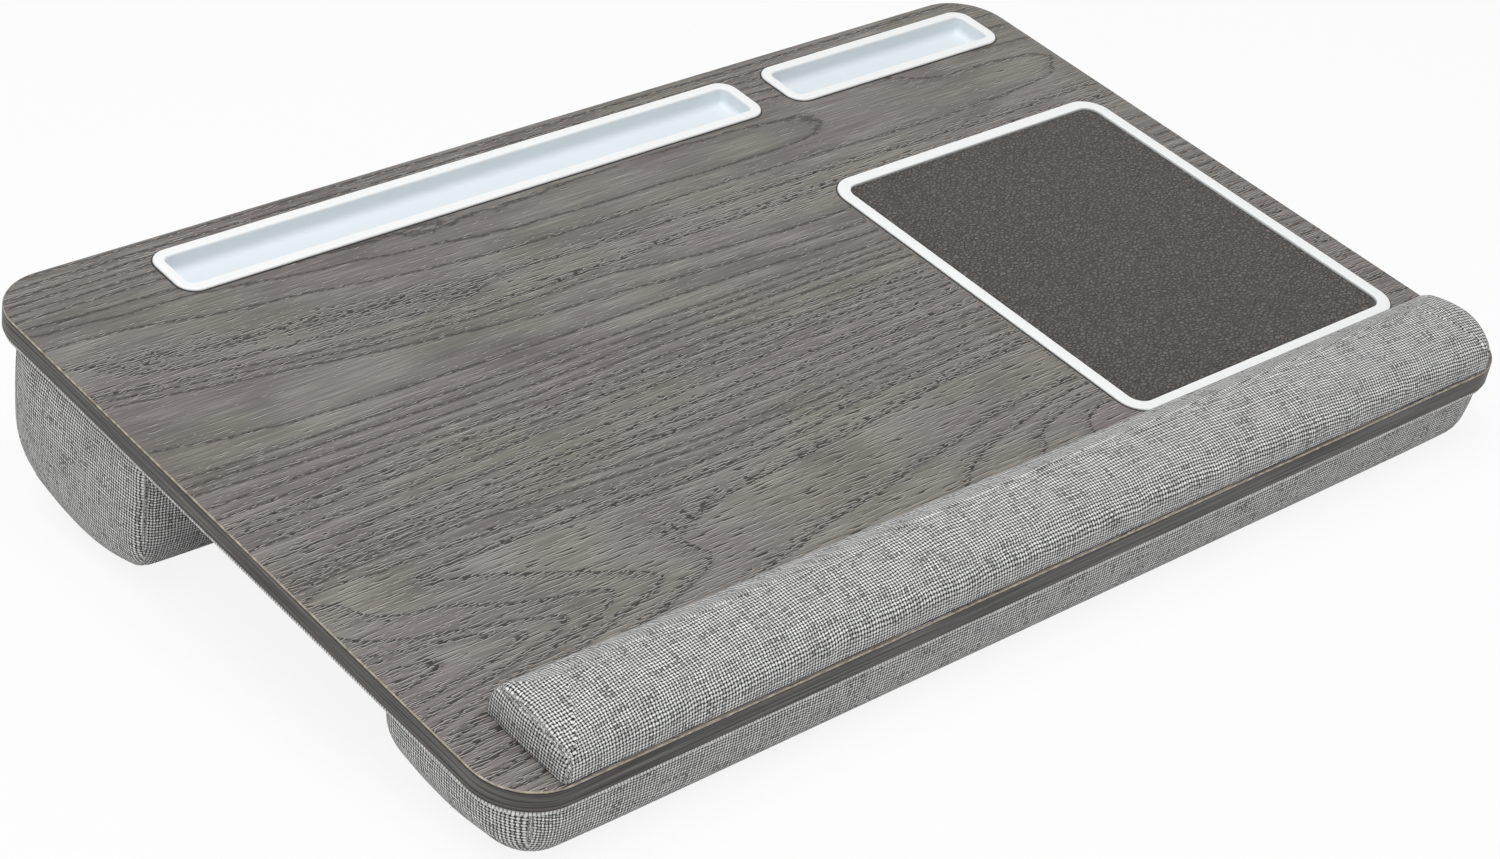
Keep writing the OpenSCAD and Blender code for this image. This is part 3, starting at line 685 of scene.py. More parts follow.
class OakFigure:
    """Growth rings of the oak face, as a smooth field of ring numbers through the drawn lines listed below.
    """

    # Number of each ring line, how open its pores are, and X, Y, X, Y along it in mm. A line with a
    # fraction keeps two rings apart where they are far from each other.
    LINES: tuple = (
        (-21, 0.1, (-300, 150, -240, 145, -200, 142, -180, 138, -150, 134, -120, 129, -100, 127, -80, 124,
                    -60, 122, -20, 120, 30, 119, 80, 117, 110, 118, 128, 121, 134, 129, 127, 137, 100, 139.5,
                    60, 142, 20, 143, -20, 141, -60, 138, -90, 139, -120, 142, -160, 147, -200, 151,
                    -300, 156)),
        (-20, 0.4, (-300, 139, -260, 136, -240, 132, -220, 128, -200, 125, -180, 123, -160, 120, -140, 116,
                    -120, 113, -100, 111, -60, 108, -20, 107, 60, 106, 100, 105, 160, 103, 200, 102, 240, 103,
                    265, 105, 285, 109, 293, 119, 290, 127, 275, 130, 255, 132, 230, 132, 215, 135, 205, 140,
                    198, 147, 170, 153, 125, 157, -50, 160, -220, 162, -300, 162)),
        (-19, 0.75, (-300, 122, -280, 118, -260, 112, -240, 109, -220, 107, -200, 104, -180, 102, -160, 100,
                     -140, 98, -120, 96, -100, 94, -60, 93, 40, 92, 100, 92, 160, 90, 220, 89, 300, 90)),
        (-19, 0.3, (300, 142, 260, 144, 225, 150, 190, 158, 125, 164, -50, 166, -220, 168, -300, 167)),
        (-18, 1.0, (-300, 100, -280, 97, -260, 93, -240, 90, -220, 87, -200, 84, -180, 81, -160, 79, -140, 77,
                    -120, 76, -100, 76, -60, 77, -20, 78, 40, 79, 100, 80, 180, 79, 300, 78)),
        (-18, 0.4, (300, 158, 125, 170, -50, 172, -220, 174, -300, 173)),
        (-17, 0.25, (-300, 96, -260, 89.5, -220, 83.5, -200, 80, -175, 76, -120, 72, -60, 71, -38, 70,
                     -25, 68, -15, 66, 0, 63, 20, 62, 40, 61, 60, 60, 96, 59, 150, 57, 300, 55)),
        (-17, 0.5, (300, 170, 125, 175, -50, 178, -220, 179, -300, 178)),
        (-16, 0.35, (-300, 92, -260, 85.5, -220, 79, -190, 74, -175, 71.5, -160, 69, -150, 67, -130, 65,
                     -110, 62, -90, 58, -60, 57, -40, 56, -20, 53, 0, 52, 40, 49, 96, 47, 300, 44)),
        (-16, 0.5, (300, 180, 125, 181, -220, 184, -300, 184)),
        (-15.75, 0.2, (-300, 83, -260, 76, -220, 70, -180, 63.5, -140, 58, -100, 54)),
        (-15.5, 0.2, (-300, 73, -260, 66, -220, 60, -180, 55, -140, 51, -100, 48.5)),
        (-15.25, 0.2, (-300, 64, -260, 57, -220, 52.5, -180, 48.5, -140, 46.5, -100, 45)),
        (-15, 0.25, (-300, 57, -280, 52, -260, 50, -240, 47, -200, 45, -160, 43, -100, 42, -20, 42, 96, 39,
                     300, 37)),
        (-15, 0.4, (-300, 190, -100, 189, 100, 187, 300, 188)),
        (-14, 0.4, (-300, 35, -260, 34, -200, 33, -140, 31, -60, 31, 96, 30, 300, 30)),
        (-13, 0.35, (-300, 30, -260, 28.5, -200, 27, -150, 25.5, -80, 26, 96, 26, 300, 24)),
        (-12, 0.35, (-300, 24, -250, 21.5, -200, 20, -130, 18.5, -60, 20.5, 96, 21, 300, 18)),
        (-11, 0.4, (-300, 14, -240, 13.5, -180, 13, -120, 12, -60, 15, 0, 15, 60, 16, 300, 12)),
        (-10, 0.5, (-300, 6, -240, 7, -200, 8, -130, 6, -60, 8, 90, 7, 300, 5)),
        (-9, 0.8, (-300, -2, -240, -1, -200, 0, -140, 0.5, -100, 2, 90, 2, 300, -2)),
        (-8, 0.7, (-300, -7, -200, -5, -120, -2.5, -60, -3, -20, -3.5, 20, -2, 96, -3, 300, -9)),
        (-7, 0.6, (-300, -17, -250, -16, -190, -13, -150, -11, -110, -9, -80, -7.5, 0, -7, 60, -6.5, 96, -8,
                   300, -16)),
        (-6, 0.7, (-300, -27, -260, -25, -200, -23, -120, -20.5, -60, -17, -20, -14, 20, -13, 96, -12,
                   300, -24)),
        (-5, 0.8, (-300, -37, -260, -34, -200, -30.5, -160, -28.5, -100, -27.5, -20, -23.5, 60, -20, 96, -18,
                   300, -31)),
        (-4, 0.8, (-300, -42, -240, -37, -190, -34, -100, -33, -60, -32, -20, -30, 60, -28, 96, -29,
                   300, -38)),
        (-3, 0.8, (-300, -44, -265, -41, -200, -38.5, -150, -37.5, -60, -39, -20, -37.5, 96, -35, 300, -45)),
        (-2, 0.5, (-300, -45.5, -260, -43, -200, -41.5, -170, -43, -140, -45, -120, -47, -80, -48.5, -40, -47,
                   0, -44, 40, -42, 96, -41, 300, -52)),
        (-1, 0.4, (-300, -47.5, -260, -45, -220, -45, -190, -47, -160, -49, -120, -52, -80, -52.5, -40, -52,
                   0, -50, 50, -47, 96, -46, 300, -58)),
        (0, 0.7, (300, -66, 96, -52, 30, -53, -10, -55, -40, -58, -70, -61, -130, -61, -160, -58, -200, -56,
                  -240, -54, -270, -54, -283, -57, -287, -65, -284, -72, -275, -78, -260, -81, -245, -87,
                  -230, -94, -215, -100, -200, -104, -190, -107, -187, -111, -194, -117, -215, -123,
                  -240, -129, -280, -138, -300, -142)),
        (1, 0.95, (300, -76, 96, -56, 40, -59, 0, -60.5, -20, -62, -40, -66, -60, -68, -90, -69, -120, -68,
                   -155, -66, -200, -63.5, -240, -62.5, -252, -65, -245, -69, -225, -76, -210, -84, -195, -92,
                   -181, -100, -170, -106, -163, -112, -168, -118, -190, -123, -215, -130, -250, -139,
                   -300, -150)),
        (2, 1.0, (300, -90, 180, -75, 96, -65, 70, -66, 40, -69, 0, -74, -40, -78, -80, -82, -105, -84,
                  -122, -88, -138, -95, -142, -103, -137, -109, -139, -115, -152, -121, -170, -127,
                  -190, -133, -230, -143, -300, -158)),
        (3, 1.0, (300, -112, 180, -103, 96, -97, 60, -98, 40, -100, 20, -104, 0, -108, -30, -112, -60, -118,
                  -80, -122, -110, -128, -140, -136, -200, -152, -300, -166)),
        (4, 0.8, (300, -125, 180, -110, 96, -103, 70, -105, 45, -110, 20, -116, 5, -121, -3, -127, -8, -136,
                  -60, -150, -200, -164, -300, -174)),
        (5, 0.8, (300, -138, 180, -118, 96, -110, 80, -111, 60, -115, 48, -121, 43, -129, 30, -142, -60, -165,
                  -200, -176, -300, -183)),
        (6, 0.8, (180, -127, 96, -117, 85, -119, 75, -123, 71, -131, 60, -150, -60, -180, -300, -192)),
        (-1, 0.7, (-300, -78, -290, -87, -270, -95, -255, -99, -240, -103, -225, -108, -215, -112, -213, -115,
                   -222, -119, -245, -124, -270, -129, -300, -134)),
        (-2, 0.8, (-300, -92, -280, -97, -260, -101, -245, -106, -235, -110, -232, -113, -238, -117,
                   -255, -120, -280, -124, -300, -126)),
        (-3, 1.0, (-300, -103, -285, -106, -273, -111, -283, -115, -300, -117)),
    )
    SQUEEZE = np.array([0.4, 1.0])
    SPACING = 6.4

    def __init__(self) -> None:
        """Fits a thin-plate spline through points spread evenly along the lines.

        Each point pulls on the field by its distance squared times the logarithm of its distance, and a
        plane is added. X is squeezed, because the figure is long along X.
        """
        at, number, pores = [], [], []
        for ring, open_pores, flat in self.LINES:
            run = np.array(flat, dtype=float).reshape(-1, 2)
            steps = np.linalg.norm(np.diff(run, axis=0) * self.SQUEEZE, axis=1)
            length = np.concatenate([[0], np.cumsum(steps)])
            spread = np.linspace(0, length[-1], max(2, round(length[-1] / self.SPACING)))
            at.append(np.stack([np.interp(spread, length, run[:, i]) for i in (0, 1)], axis=1))
            number.append(np.full(len(spread), float(ring)))
            pores.append(np.full(len(spread), open_pores))
        self.at, self.pores = np.concatenate(at), np.concatenate(pores)
        values = np.concatenate(number)
        count = len(values)
        plane = np.concatenate([np.ones((count, 1)), self.at * self.SQUEEZE], axis=1)
        system = np.zeros((count + 3, count + 3))
        system[:count, :count] = self.pull(self.at) + np.eye(count) * 4.0
        system[:count, count:] = plane
        system[count:, :count] = plane.T
        self.weights = np.linalg.solve(system, np.concatenate([values, np.zeros(3)]))

    def pull(self, points: np.ndarray) -> np.ndarray:
        """Pull of each fitted point on each given point: distance squared times its logarithm."""
        gap = (points[:, None] - self.at[None]) * self.SQUEEZE
        square = np.maximum((gap**2).sum(axis=2), 1e-9)
        return 0.5 * square * np.log(square)

    def ring(self, points: np.ndarray) -> np.ndarray:
        """Ring number at each point."""
        parts = []
        for some in np.array_split(points, max(1, len(points) // 4000)):
            plane = np.concatenate([np.ones((len(some), 1)), some * self.SQUEEZE], axis=1)
            parts.append(self.pull(some) @ self.weights[:-3] + plane @ self.weights[-3:])
        return np.concatenate(parts)

    def openness(self, points: np.ndarray) -> np.ndarray:
        """How open the pores are: the lines' values, weighted by a bell curve of their distance."""
        parts = []
        for some in np.array_split(points, max(1, len(points) // 4000)):
            gap = (some[:, None] - self.at[None]) / (40.0, 5.0)
            weight = np.exp(-(gap**2).sum(axis=2)) + 1e-9
            parts.append(weight @ self.pores / weight.sum(axis=1))
        return np.concatenate(parts)

    def write(self, mesh: bpy.types.Mesh) -> None:
        """Stores the ring number, its change for each millimetre and the pores at each vertex."""
        points = np.empty(len(mesh.vertices) * 3)
        mesh.vertices.foreach_get("co", points)
        flat = PLANE.unplace(points.reshape(-1, 3))[:, :2]
        ring = self.ring(flat)
        slope = [(self.ring(flat + step) - ring) / 0.5 for step in ((0.5, 0), (0, 0.5))]
        rate = np.maximum(np.hypot(*slope), 0.02)
        for name, values in (("ring", ring), ("ring_rate", rate), ("pores", self.openness(flat))):
            layer = mesh.attributes.new(name, "FLOAT", "POINT")
            layer.data.foreach_set("value", values.astype(np.float32))


@dataclass
class Board:
    """Laminated board: the oak face with its pale arris, the edge band, the backing and the core."""

    width: float = 600
    depth: float = 384
    radius: float = 28
    laminate_t: float = 1
    bevel: float = 0.8
    band_t: float = 1
    bottom: float = -10.6
    grid: float = 3.0
    cuts: list[RoundRect] = field(default_factory=list)

    def face(self) -> bpy.types.Object:
        """Builds the laminate: a bevelled rim all round, and a flat face with cut-outs."""
        runs = round(self.depth / self.grid / 1.2)
        outer = RoundRect(0, 0, self.width, self.depth, self.radius, 24, runs)
        b, t = self.bevel, self.laminate_t
        rim = outer.sweep([(self.band_t + 0.4, -t), (0, -t), (0, -b), (b * 0.12, -b * 0.72),
                           (b * 0.55, -b * 0.28), (b, 0)])
        rows, cols = rim.shape[:2]
        quads = grid_faces(rows, cols)
        points = rim.reshape(-1, 3)
        fill = self.filled([rim[-1, :, :2]] + [cut.loop(0)[0] for cut in self.cuts], outer)
        faces = quads.tolist() + (fill[1] + len(points)).tolist()
        flat = np.concatenate([points[quads.ravel()][:, :2], fill[0][fill[1].ravel()]])
        slots = np.concatenate([np.repeat([1, 0, 1, 1, 0], cols), np.zeros(len(fill[1]), int)])
        level = np.concatenate([fill[0], np.zeros((len(fill[0]), 1))], axis=1)
        piece = build_piece("oak_face", np.concatenate([points, level]), faces, flat,
                            [OakDecor(), CutArris()], slots, sharp=50)
        # The rim's inner ring and the edge of the fill are the same points, and are merged.
        made = bmesh.new()
        made.from_mesh(piece.data)
        bmesh.ops.remove_doubles(made, verts=made.verts[:], dist=5e-6)
        made.to_mesh(piece.data)
        made.free()
        OakFigure().write(piece.data)
        return piece

    def filled(self, loops: list[np.ndarray], outer: RoundRect) -> tuple[np.ndarray, np.ndarray]:
        """Fills an outline that has holes with triangles about as large as the grid.

        Args:
            loops: the outline and its holes, each an array of points.
            outer: the shape of the outline.

        Returns:
            The points and the triangles, which face up.
        """
        x = np.arange(-self.width / 2, self.width / 2, self.grid) + self.grid / 2
        y = np.arange(-self.depth / 2, self.depth / 2, self.grid) + self.grid / 2
        inner = np.stack(np.meshgrid(x, y), axis=-1).reshape(-1, 2)
        keep = outer.distance(inner) < -1.5 - self.bevel
        for cut in self.cuts:
            keep &= cut.distance(inner) > 1.2
        sizes = [len(loop) for loop in loops]
        edges, start = [], 0
        for size in sizes:
            number = start + np.arange(size)
            edges += np.stack([number, np.roll(number, -1)], axis=1).tolist()
            start += size
        points = np.concatenate(loops + [inner[keep]])
        made = delaunay_2d_cdt([Vector(p) for p in points.tolist()], edges, [], 1, 1e-5)
        flat = np.array([tuple(p) for p in made[0]])
        triangles = np.array(made[2])
        a, b, c = (flat[triangles[:, i]] for i in range(3))
        middle = (a + b + c) / 3
        keep = outer.distance(middle) < 0
        for cut in self.cuts:
            keep &= cut.distance(middle) > 0
        down = (b - a)[:, 0] * (c - a)[:, 1] - (b - a)[:, 1] * (c - a)[:, 0] < 0
        triangles[down] = triangles[down][:, ::-1]
        return flat, triangles[keep]

    def band(self) -> bpy.types.Object:
        """Builds the edge band, with its outer edges eased."""
        outer = RoundRect(0, 0, self.width, self.depth, self.radius, 40)
        top, ease = -self.laminate_t, 0.25
        profile = [(ease, top), (0, top - ease), (0, self.bottom + ease), (ease, self.bottom),
                   (self.band_t, self.bottom), (self.band_t, top)]
        return swept_solid("edge_band_piece", outer, profile, [EdgeBandDecor()], closed=True)

    def build(self) -> None:
        """Builds the board's pieces and dresses the nodes that stay."""
        face = self.face()
        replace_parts(face, "top_laminate")
        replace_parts(self.band(), "edge_band")
        dress("board_core", Grained())
        dress("backing_sheet", Grained("balancing_laminate", "62605E", "767371", 3.0, 0.6, 0.05))
        log.info("board: %d cut-outs, face of %d triangles", len(self.cuts), len(face.data.polygons))


@dataclass
class Tray:
    """Moulded tray let into the board: a domed flange, a well with round lower edges and a thin wall."""

    node: str
    outline: RoundRect
    flange_w: float = 5.6
    flange_h: float = 1.2
    well: float = 8
    wall: float = 1.2
    lip: float = 0.9

    def profile(self) -> list[tuple[float, float]]:
        """Section of the tray, from under its flange over the flange and into the well."""
        f, h, r = self.flange_w, self.flange_h, self.outline.radius - self.flange_w
        base = -self.well
        outside = [(f + 2, base - self.wall), (f - self.wall + 1.2, base - self.wall)]
        outside += [(f - self.wall, base - self.wall + 1.2), (f - self.wall, 0.02), (0.25, 0.02)]
        top = [(0, 0.25)] + arc(self.lip, h - self.lip, self.lip, 180, 90, 7)
        top += [(f / 2, h + 0.08)]
        inner = arc(f - self.lip, h - self.lip, self.lip, 90, 0, 7)
        cove = arc(f + 0.25 + r * 0.9, base + r * 0.9, r * 0.9, 180, 270, 8)
        return outside + top + inner + cove

    def build(self) -> None:
        """Builds the tray and the narrow dark bead round its flange."""
        piece = swept_solid(self.node + "_moulding", self.outline, self.profile(), [MouldedABS()],
                            closed=False, sharp=60)
        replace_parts(piece, self.node)
        dark_outline_bead(self.node + "_bead", self.outline)
        log.info("%s: well %.1f mm deep", self.node, self.well)


def dark_outline_bead(name: str, outline: RoundRect) -> None:
    """Lays a narrow dark bead round an insert, which draws its dark outline."""
    # A narrow dark strip laid on the board round the insert's outline.
    profile = [(0.4, 0.02), (-0.75, 0.02), (-0.7, 0.12), (-0.4, 0.2), (0.4, 0.2)]
    swept_solid(name, outline, profile, [Grained("black_outline_bead", "121110", "1E1D1C", 0.8, 0.6, 0.1)],
                closed=True, sharp=60)


@dataclass
class MousePad:
    """Leather mouse pad that lies in a recess, in a narrow moulded frame."""

    outline: RoundRect
    member: float = 6.6
    height: float = 1.0
    recess: float = 3.6
    leather_h: float = 0.3
    leather_t: float = 1.4

    def build(self) -> None:
        """Builds the frame and the leather, whose edge is turned down inside the frame."""
        h, m, r = self.height, self.member, 0.55
        profile = [(0, -self.recess)] + arc(r, h - r, r, 180, 90, 6) + [(m / 2, h + 0.1)]
        profile += arc(m - r, h - r, r, 90, 0, 6) + [(m, -self.recess)]
        piece = swept_solid("pad_frame_moulding", self.outline, profile, [MouldedABS()], closed=True,
                            sharp=60)
        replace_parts(piece, "mouse_pad_frame")
        dark_outline_bead("pad_frame_bead", self.outline)
        o = self.outline
        inner = RoundRect(o.x, o.y, o.width - 2 * m, o.depth - 2 * m, o.radius - m, 12)
        low, top = self.leather_h - self.leather_t, self.leather_h
        edge = [(0.1, low), (0.1, low + 0.3)] + arc(1.3, top - 1.15, 1.15, 175, 90, 7)
        sheet = edge + [(3, top + 0.03), (8, top + 0.1), (18, top + 0.16), (30, top + 0.18)]
        leather = swept_solid("leather_pad", inner, sheet, [PebbledLeather()], closed=False, sharp=60)
        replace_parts(leather, "mouse_pad_leather")
        dress("mouse_pad_foam", Grained("sponge_sheet", "1D1C1B", "33302E", 0.9, 0.95, 0.5))
        log.info("mouse pad: %.0f x %.0f mm", o.width, o.depth)


class Panel(Enum):
    """Sewn panels of a cushion's cover."""

    WRAP = 0
    LEFT_END = 1
    RIGHT_END = 2
    BASE = 3


@dataclass
class Cushion:
    """Sewn cushion: a wrap and two end panels over foam, fixed to the board by its base.

    The form is a stack of rings. They go from the rim along the swelling wall, round the edge and
    inwards to a narrow spine, and the base is closed in the same way.
    """

    name: str
    x0: float
    x1: float
    y0: float
    y1: float
    corner_front: float
    corner_rear: float
    edge_end: float
    edge_front: float
    edge_rear: float
    crest: float
    spine: float
    rim: float
    bulge: float
    side: int = -1
    bow: float = 0.6
    inset: float = 0.3
    pressure: float = 4.0
    cap: float = 5.0
    slack: float = 0.2
    fill: float = 0.8
    shoulder_r: float = 3
    wall_share: float = 0.8
    base_half: float = 3
    floor_gap: float = 0.2
    arc_n: int = 9
    long_n: int = 110
    end_n: int = 9
    wall_n: int = 9
    edge_n: int = 8
    inner_n: int = 9
    base_n: int = 6

    def level(self, x: np.ndarray, y: np.ndarray) -> np.ndarray:
        """Level of the face away from the board."""
        raise NotImplementedError

    @property
    def ring_n(self) -> int:
        """Number of points in a ring."""
        return 4 * self.arc_n + 2 * self.long_n + 4 * self.end_n

    def outline(self, x0: float, x1: float, y0: float, y1: float, rf: float, rr: float) -> np.ndarray:
        """Closed outline from the middle of the left end, by the front to the right end and back.

        Straight sides join quarter circles, and the ends bow out by one less the square of the share of
        the way from their middle.

        Args:
            x0: left end.
            x1: right end.
            y0: front.
            y1: rear.
            rf: radius of the front corners.
            rr: radius of the rear corners.

        Returns:
            Array of points by X and Y.
        """
        low, high = y0 + rf, y1 - rr
        mid, half = (low + high) / 2, max((high - low) / 2, 0.1)

        def line(ax: float, ay: float, bx: float, by: float, n: int) -> np.ndarray:
            """Points from a to b, without b."""
            t = np.arange(n)[:, None] / n
            return np.array([[ax, ay]]) + t * np.array([[bx - ax, by - ay]])

        def corner(cx: float, cy: float, r: float, start: float) -> np.ndarray:
            """Quarter circle from an angle in degrees, without its last point."""
            turn = np.radians(start + 90 * np.arange(self.arc_n) / self.arc_n)
            return np.stack([cx + r * np.cos(turn), cy + r * np.sin(turn)], axis=1)

        def end(x: float, ay: float, by: float, n: int, sign: int) -> np.ndarray:
            """Bowed run of an end, without its last point."""
            run = line(x, ay, x, by, n)
            run[:, 0] += sign * self.bow * (1 - ((run[:, 1] - mid) / half) ** 2)
            return run

        n = self.end_n
        return np.concatenate([
            end(x0, mid, low, n, -1), corner(x0 + rf, y0 + rf, rf, 180),
            line(x0 + rf, y0, x1 - rf, y0, self.long_n), corner(x1 - rf, y0 + rf, rf, 270),
            end(x1, low, high, 2 * n, 1), corner(x1 - rr, y1 - rr, rr, 0),
            line(x1 - rr, y1, x0 + rr, y1, self.long_n), corner(x0 + rr, y1 - rr, rr, 90),
            end(x0, high, mid, n, -1),
        ])

    def rings(self) -> np.ndarray:
        """Works out the stack of rings.

        On the wall the outline swells by a half sine. Round the edge it goes from the rim's outline to
        the shoulder's by one less the cosine of the turn, and its level from the wall's end to the face
        by the sine. Inside the shoulder it goes straight to the spine, on the face's level.

        Returns:
            Array of rings by points by X, Y and Z, the base's rings first.
        """
        t = self.inset
        x0, x1, y0, y1 = self.x0 + t, self.x1 - t, self.y0 + t, self.y1 - t
        e0, e1, e2 = self.edge_end - t, self.edge_front - t, self.edge_rear - t
        rim = self.outline(x0, x1, y0, y1, self.corner_front - t, self.corner_rear - t)
        r = self.shoulder_r
        shoulder = self.outline(x0 + e0, x1 - e0, y0 + e1, y1 - e2, r, r)
        reach = e0 + (y1 - y0 - e1 - e2) / 2
        s = self.spine
        spine = self.outline(x0 + reach, x1 - reach, self.crest - s, self.crest + s, s / 2, s / 2)
        run = rim - shoulder
        width = np.linalg.norm(run, axis=1)
        out = run / width[:, None]

        def face(p: np.ndarray) -> np.ndarray:
            """Level of the cover's face at each point."""
            return self.level(p[..., 0], p[..., 1]) - self.side * t

        foot = face(shoulder)
        wall_end = foot - self.side * np.minimum(width, np.abs(foot - self.rim) * self.wall_share)
        h = (np.arange(self.wall_n) / self.wall_n)[:, None]
        wall_xy = rim[None] + out[None] * self.bulge * np.sin(math.pi * h)[..., None]
        wall = np.concatenate([wall_xy, (self.rim + (wall_end - self.rim)[None] * h)[..., None]], axis=2)
        a = (math.pi / 2 * np.arange(self.edge_n) / self.edge_n)[:, None]
        edge_xy = rim[None] + (shoulder - rim)[None] * (1 - np.cos(a))[..., None]
        edge = np.concatenate([edge_xy, (wall_end + (foot - wall_end)[None] * np.sin(a))[..., None]], axis=2)
        f = np.linspace(0, 1, self.inner_n)[:, None, None]
        inner_xy = shoulder[None] + (spine - shoulder)[None] * f
        inner = np.concatenate([inner_xy, face(inner_xy)[..., None]], axis=2)
        g = np.linspace(1, 0, self.base_n, endpoint=False)[:, None, None]
        middle, half, b = (y0 + y1) / 2, (y1 - y0) / 2, self.base_half
        back = self.outline(x0 + half, x1 - half, middle - b, middle + b, b / 2, b / 2)
        base_xy = rim[None] + (back - rim)[None] * g
        base = np.concatenate([base_xy, np.full((*base_xy.shape[:2], 1), self.rim)], axis=2)
        return np.concatenate([base, wall, edge, inner])

    def zip_faces(self, ring: int, flip: bool) -> list[list[int]]:
        """Closes a narrow ring with faces from its front side to its rear side."""
        n = self.ring_n
        j = np.arange(1, n // 2 - 1)
        quads = np.stack([j, j + 1, n - j - 1, n - j], axis=1)
        faces = [[0, 1, n - 1]] + quads.tolist() + [[n // 2 - 1, n // 2, n // 2 + 1]]
        faces = [[ring * n + v for v in f] for f in faces]
        return [f[::-1] for f in faces] if flip else faces

    def seam_places(self) -> dict[Panel, tuple[int, int]]:
        """Columns at which each end panel's seam goes up the wall, first and last."""
        n, third = self.ring_n, self.arc_n // 3
        left = self.end_n + 2 * third
        right = self.end_n + self.arc_n + self.long_n + third
        return {Panel.LEFT_END: (n - left, left), Panel.RIGHT_END: (right, n - right)}

    @property
    def seam_ring(self) -> int:
        """Ring at which the seams run round the edge."""
        return self.base_n + self.wall_n + self.edge_n // 2

    def panel_of(self, quads: np.ndarray) -> np.ndarray:
        """Panel number of each quad of the ring stack."""
        n = self.ring_n
        k, j = quads[:, 0] // n, quads[:, 0] % n
        places = self.seam_places()
        (la, lb), (ra, rb) = places[Panel.LEFT_END], places[Panel.RIGHT_END]
        panel = np.full(len(quads), Panel.WRAP.value)
        panel[(j >= la) | (j < lb)] = Panel.LEFT_END.value
        panel[(j >= ra) & (j < rb)] = Panel.RIGHT_END.value
        panel[k >= self.seam_ring] = Panel.WRAP.value
        panel[k < self.base_n] = Panel.BASE.value
        return panel

    def build(self, replaced: list[str]) -> None:
        """Builds the cushion, fills it, and sews its seams.

        Args:
            replaced: the CAD nodes that the cushion stands for.
        """
        rings = self.rings()
        rows, n = rings.shape[:2]
        quads = grid_faces(rows, n)
        if self.side < 0:
            quads = quads[:, ::-1]
        panel = self.panel_of(quads if self.side > 0 else quads[:, ::-1])
        points = rings.reshape(-1, 3)
        down = np.linalg.norm(np.diff(rings, axis=0, prepend=rings[:1]), axis=2)
        v = np.cumsum(down, axis=0).reshape(-1)
        flat = np.stack([points[:, 0], v], axis=1)
        ends = points[:, 1:]
        # The wrap's top over the ends is mapped from above, as X hardly changes down its slope there.
        j = quads.min(axis=1) % n
        turn = self.end_n + self.arc_n
        end = (j < turn) | (j >= n - turn) | ((j >= turn + self.long_n) & (j < n - turn - self.long_n))
        end &= quads.min(axis=1) // n >= self.seam_ring
        over = np.where(end[:, None, None], points[quads][..., :2], flat[quads])
        choice = np.where((panel == Panel.WRAP.value)[:, None, None], over, ends[quads])
        choice = np.where((panel == Panel.BASE.value)[:, None, None], points[quads][..., :2], choice)
        spine = self.zip_faces(rows - 1, self.side < 0)
        base = self.zip_faces(0, self.side > 0)
        caps = np.concatenate([points[f][:, :2] for f in spine + base])
        faces = quads.tolist() + spine + base
        corners = np.concatenate([choice.reshape(-1, 2), caps])
        piece = build_piece(self.name, points, faces, corners, [HeatherWeave()])
        self.inflate(piece)
        rest_on = self.settle(piece)
        smooth = piece.modifiers.new("rounding", "SUBSURF")
        smooth.levels = smooth.render_levels = 1
        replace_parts(piece, *replaced)
        for which, (first, last) in self.seam_places().items():
            self.sew(piece, which, first, last)
        log.info("%s: %d points, lowest %.2f mm", self.name, len(points), rest_on * 1000)

    def inflate(self, piece: bpy.types.Object) -> None:
        """Fills the cushion by a cloth simulation with its base held.

        No point moves further than the cap, or further inwards than the slack.
        """
        count = len(piece.data.vertices)
        start = np.empty(count * 3)
        piece.data.vertices.foreach_get("co", start)
        held = piece.vertex_groups.new(name="held")
        held.add(list(range((self.base_n + 1) * self.ring_n)), 1.0, "REPLACE")
        cloth = piece.modifiers.new("filling", "CLOTH")
        cloth.settings.vertex_group_mass = "held"
        cloth.settings.quality = 6
        cloth.settings.mass = 0.3
        cloth.settings.tension_stiffness = cloth.settings.compression_stiffness = 18
        cloth.settings.bending_stiffness = 0.6
        cloth.settings.use_pressure = True
        cloth.settings.uniform_pressure_force = self.pressure
        cloth.settings.effector_weights.gravity = 0
        cloth.point_cache.frame_start, cloth.point_cache.frame_end = 1, 20
        scene = bpy.context.scene
        for number in range(1, 21):
            scene.frame_set(number)
        shown = piece.evaluated_get(bpy.context.evaluated_depsgraph_get())
        end = np.empty(count * 3)
        shown.data.vertices.foreach_get("co", end)
        piece.modifiers.remove(cloth)
        scene.frame_set(1)
        move = (end - start).reshape(-1, 3)
        out = np.empty(count * 3)
        piece.data.vertices.foreach_get("normal", out)
        out = out.reshape(-1, 3)
        along = (move * out).sum(axis=1, keepdims=True)
        log.info("%s: filled, from %.2f in to %.2f mm out", self.name, -along.min() * 1e3, along.max() * 1e3)
        move += out * np.maximum(-self.slack / 1000 - along, 0)
        length = np.linalg.norm(move, axis=1, keepdims=True)
        move *= np.minimum(1, self.cap / 1000 / np.maximum(length, 1e-9))
        piece.data.vertices.foreach_set("co", start + move.ravel())
        piece.data.update()

    def settle(self, piece: bpy.types.Object) -> float:
        """Presses what lies under the floor gap flat against it and returns the lowest level, in metres."""
        points = np.empty(len(piece.data.vertices) * 3)
        piece.data.vertices.foreach_get("co", points)
        points = points.reshape(-1, 3)
        points[:, 2] = np.maximum(points[:, 2], self.floor_gap / 1000)
        piece.data.vertices.foreach_set("co", points.ravel())
        piece.data.update()
        return float(points[:, 2].min())

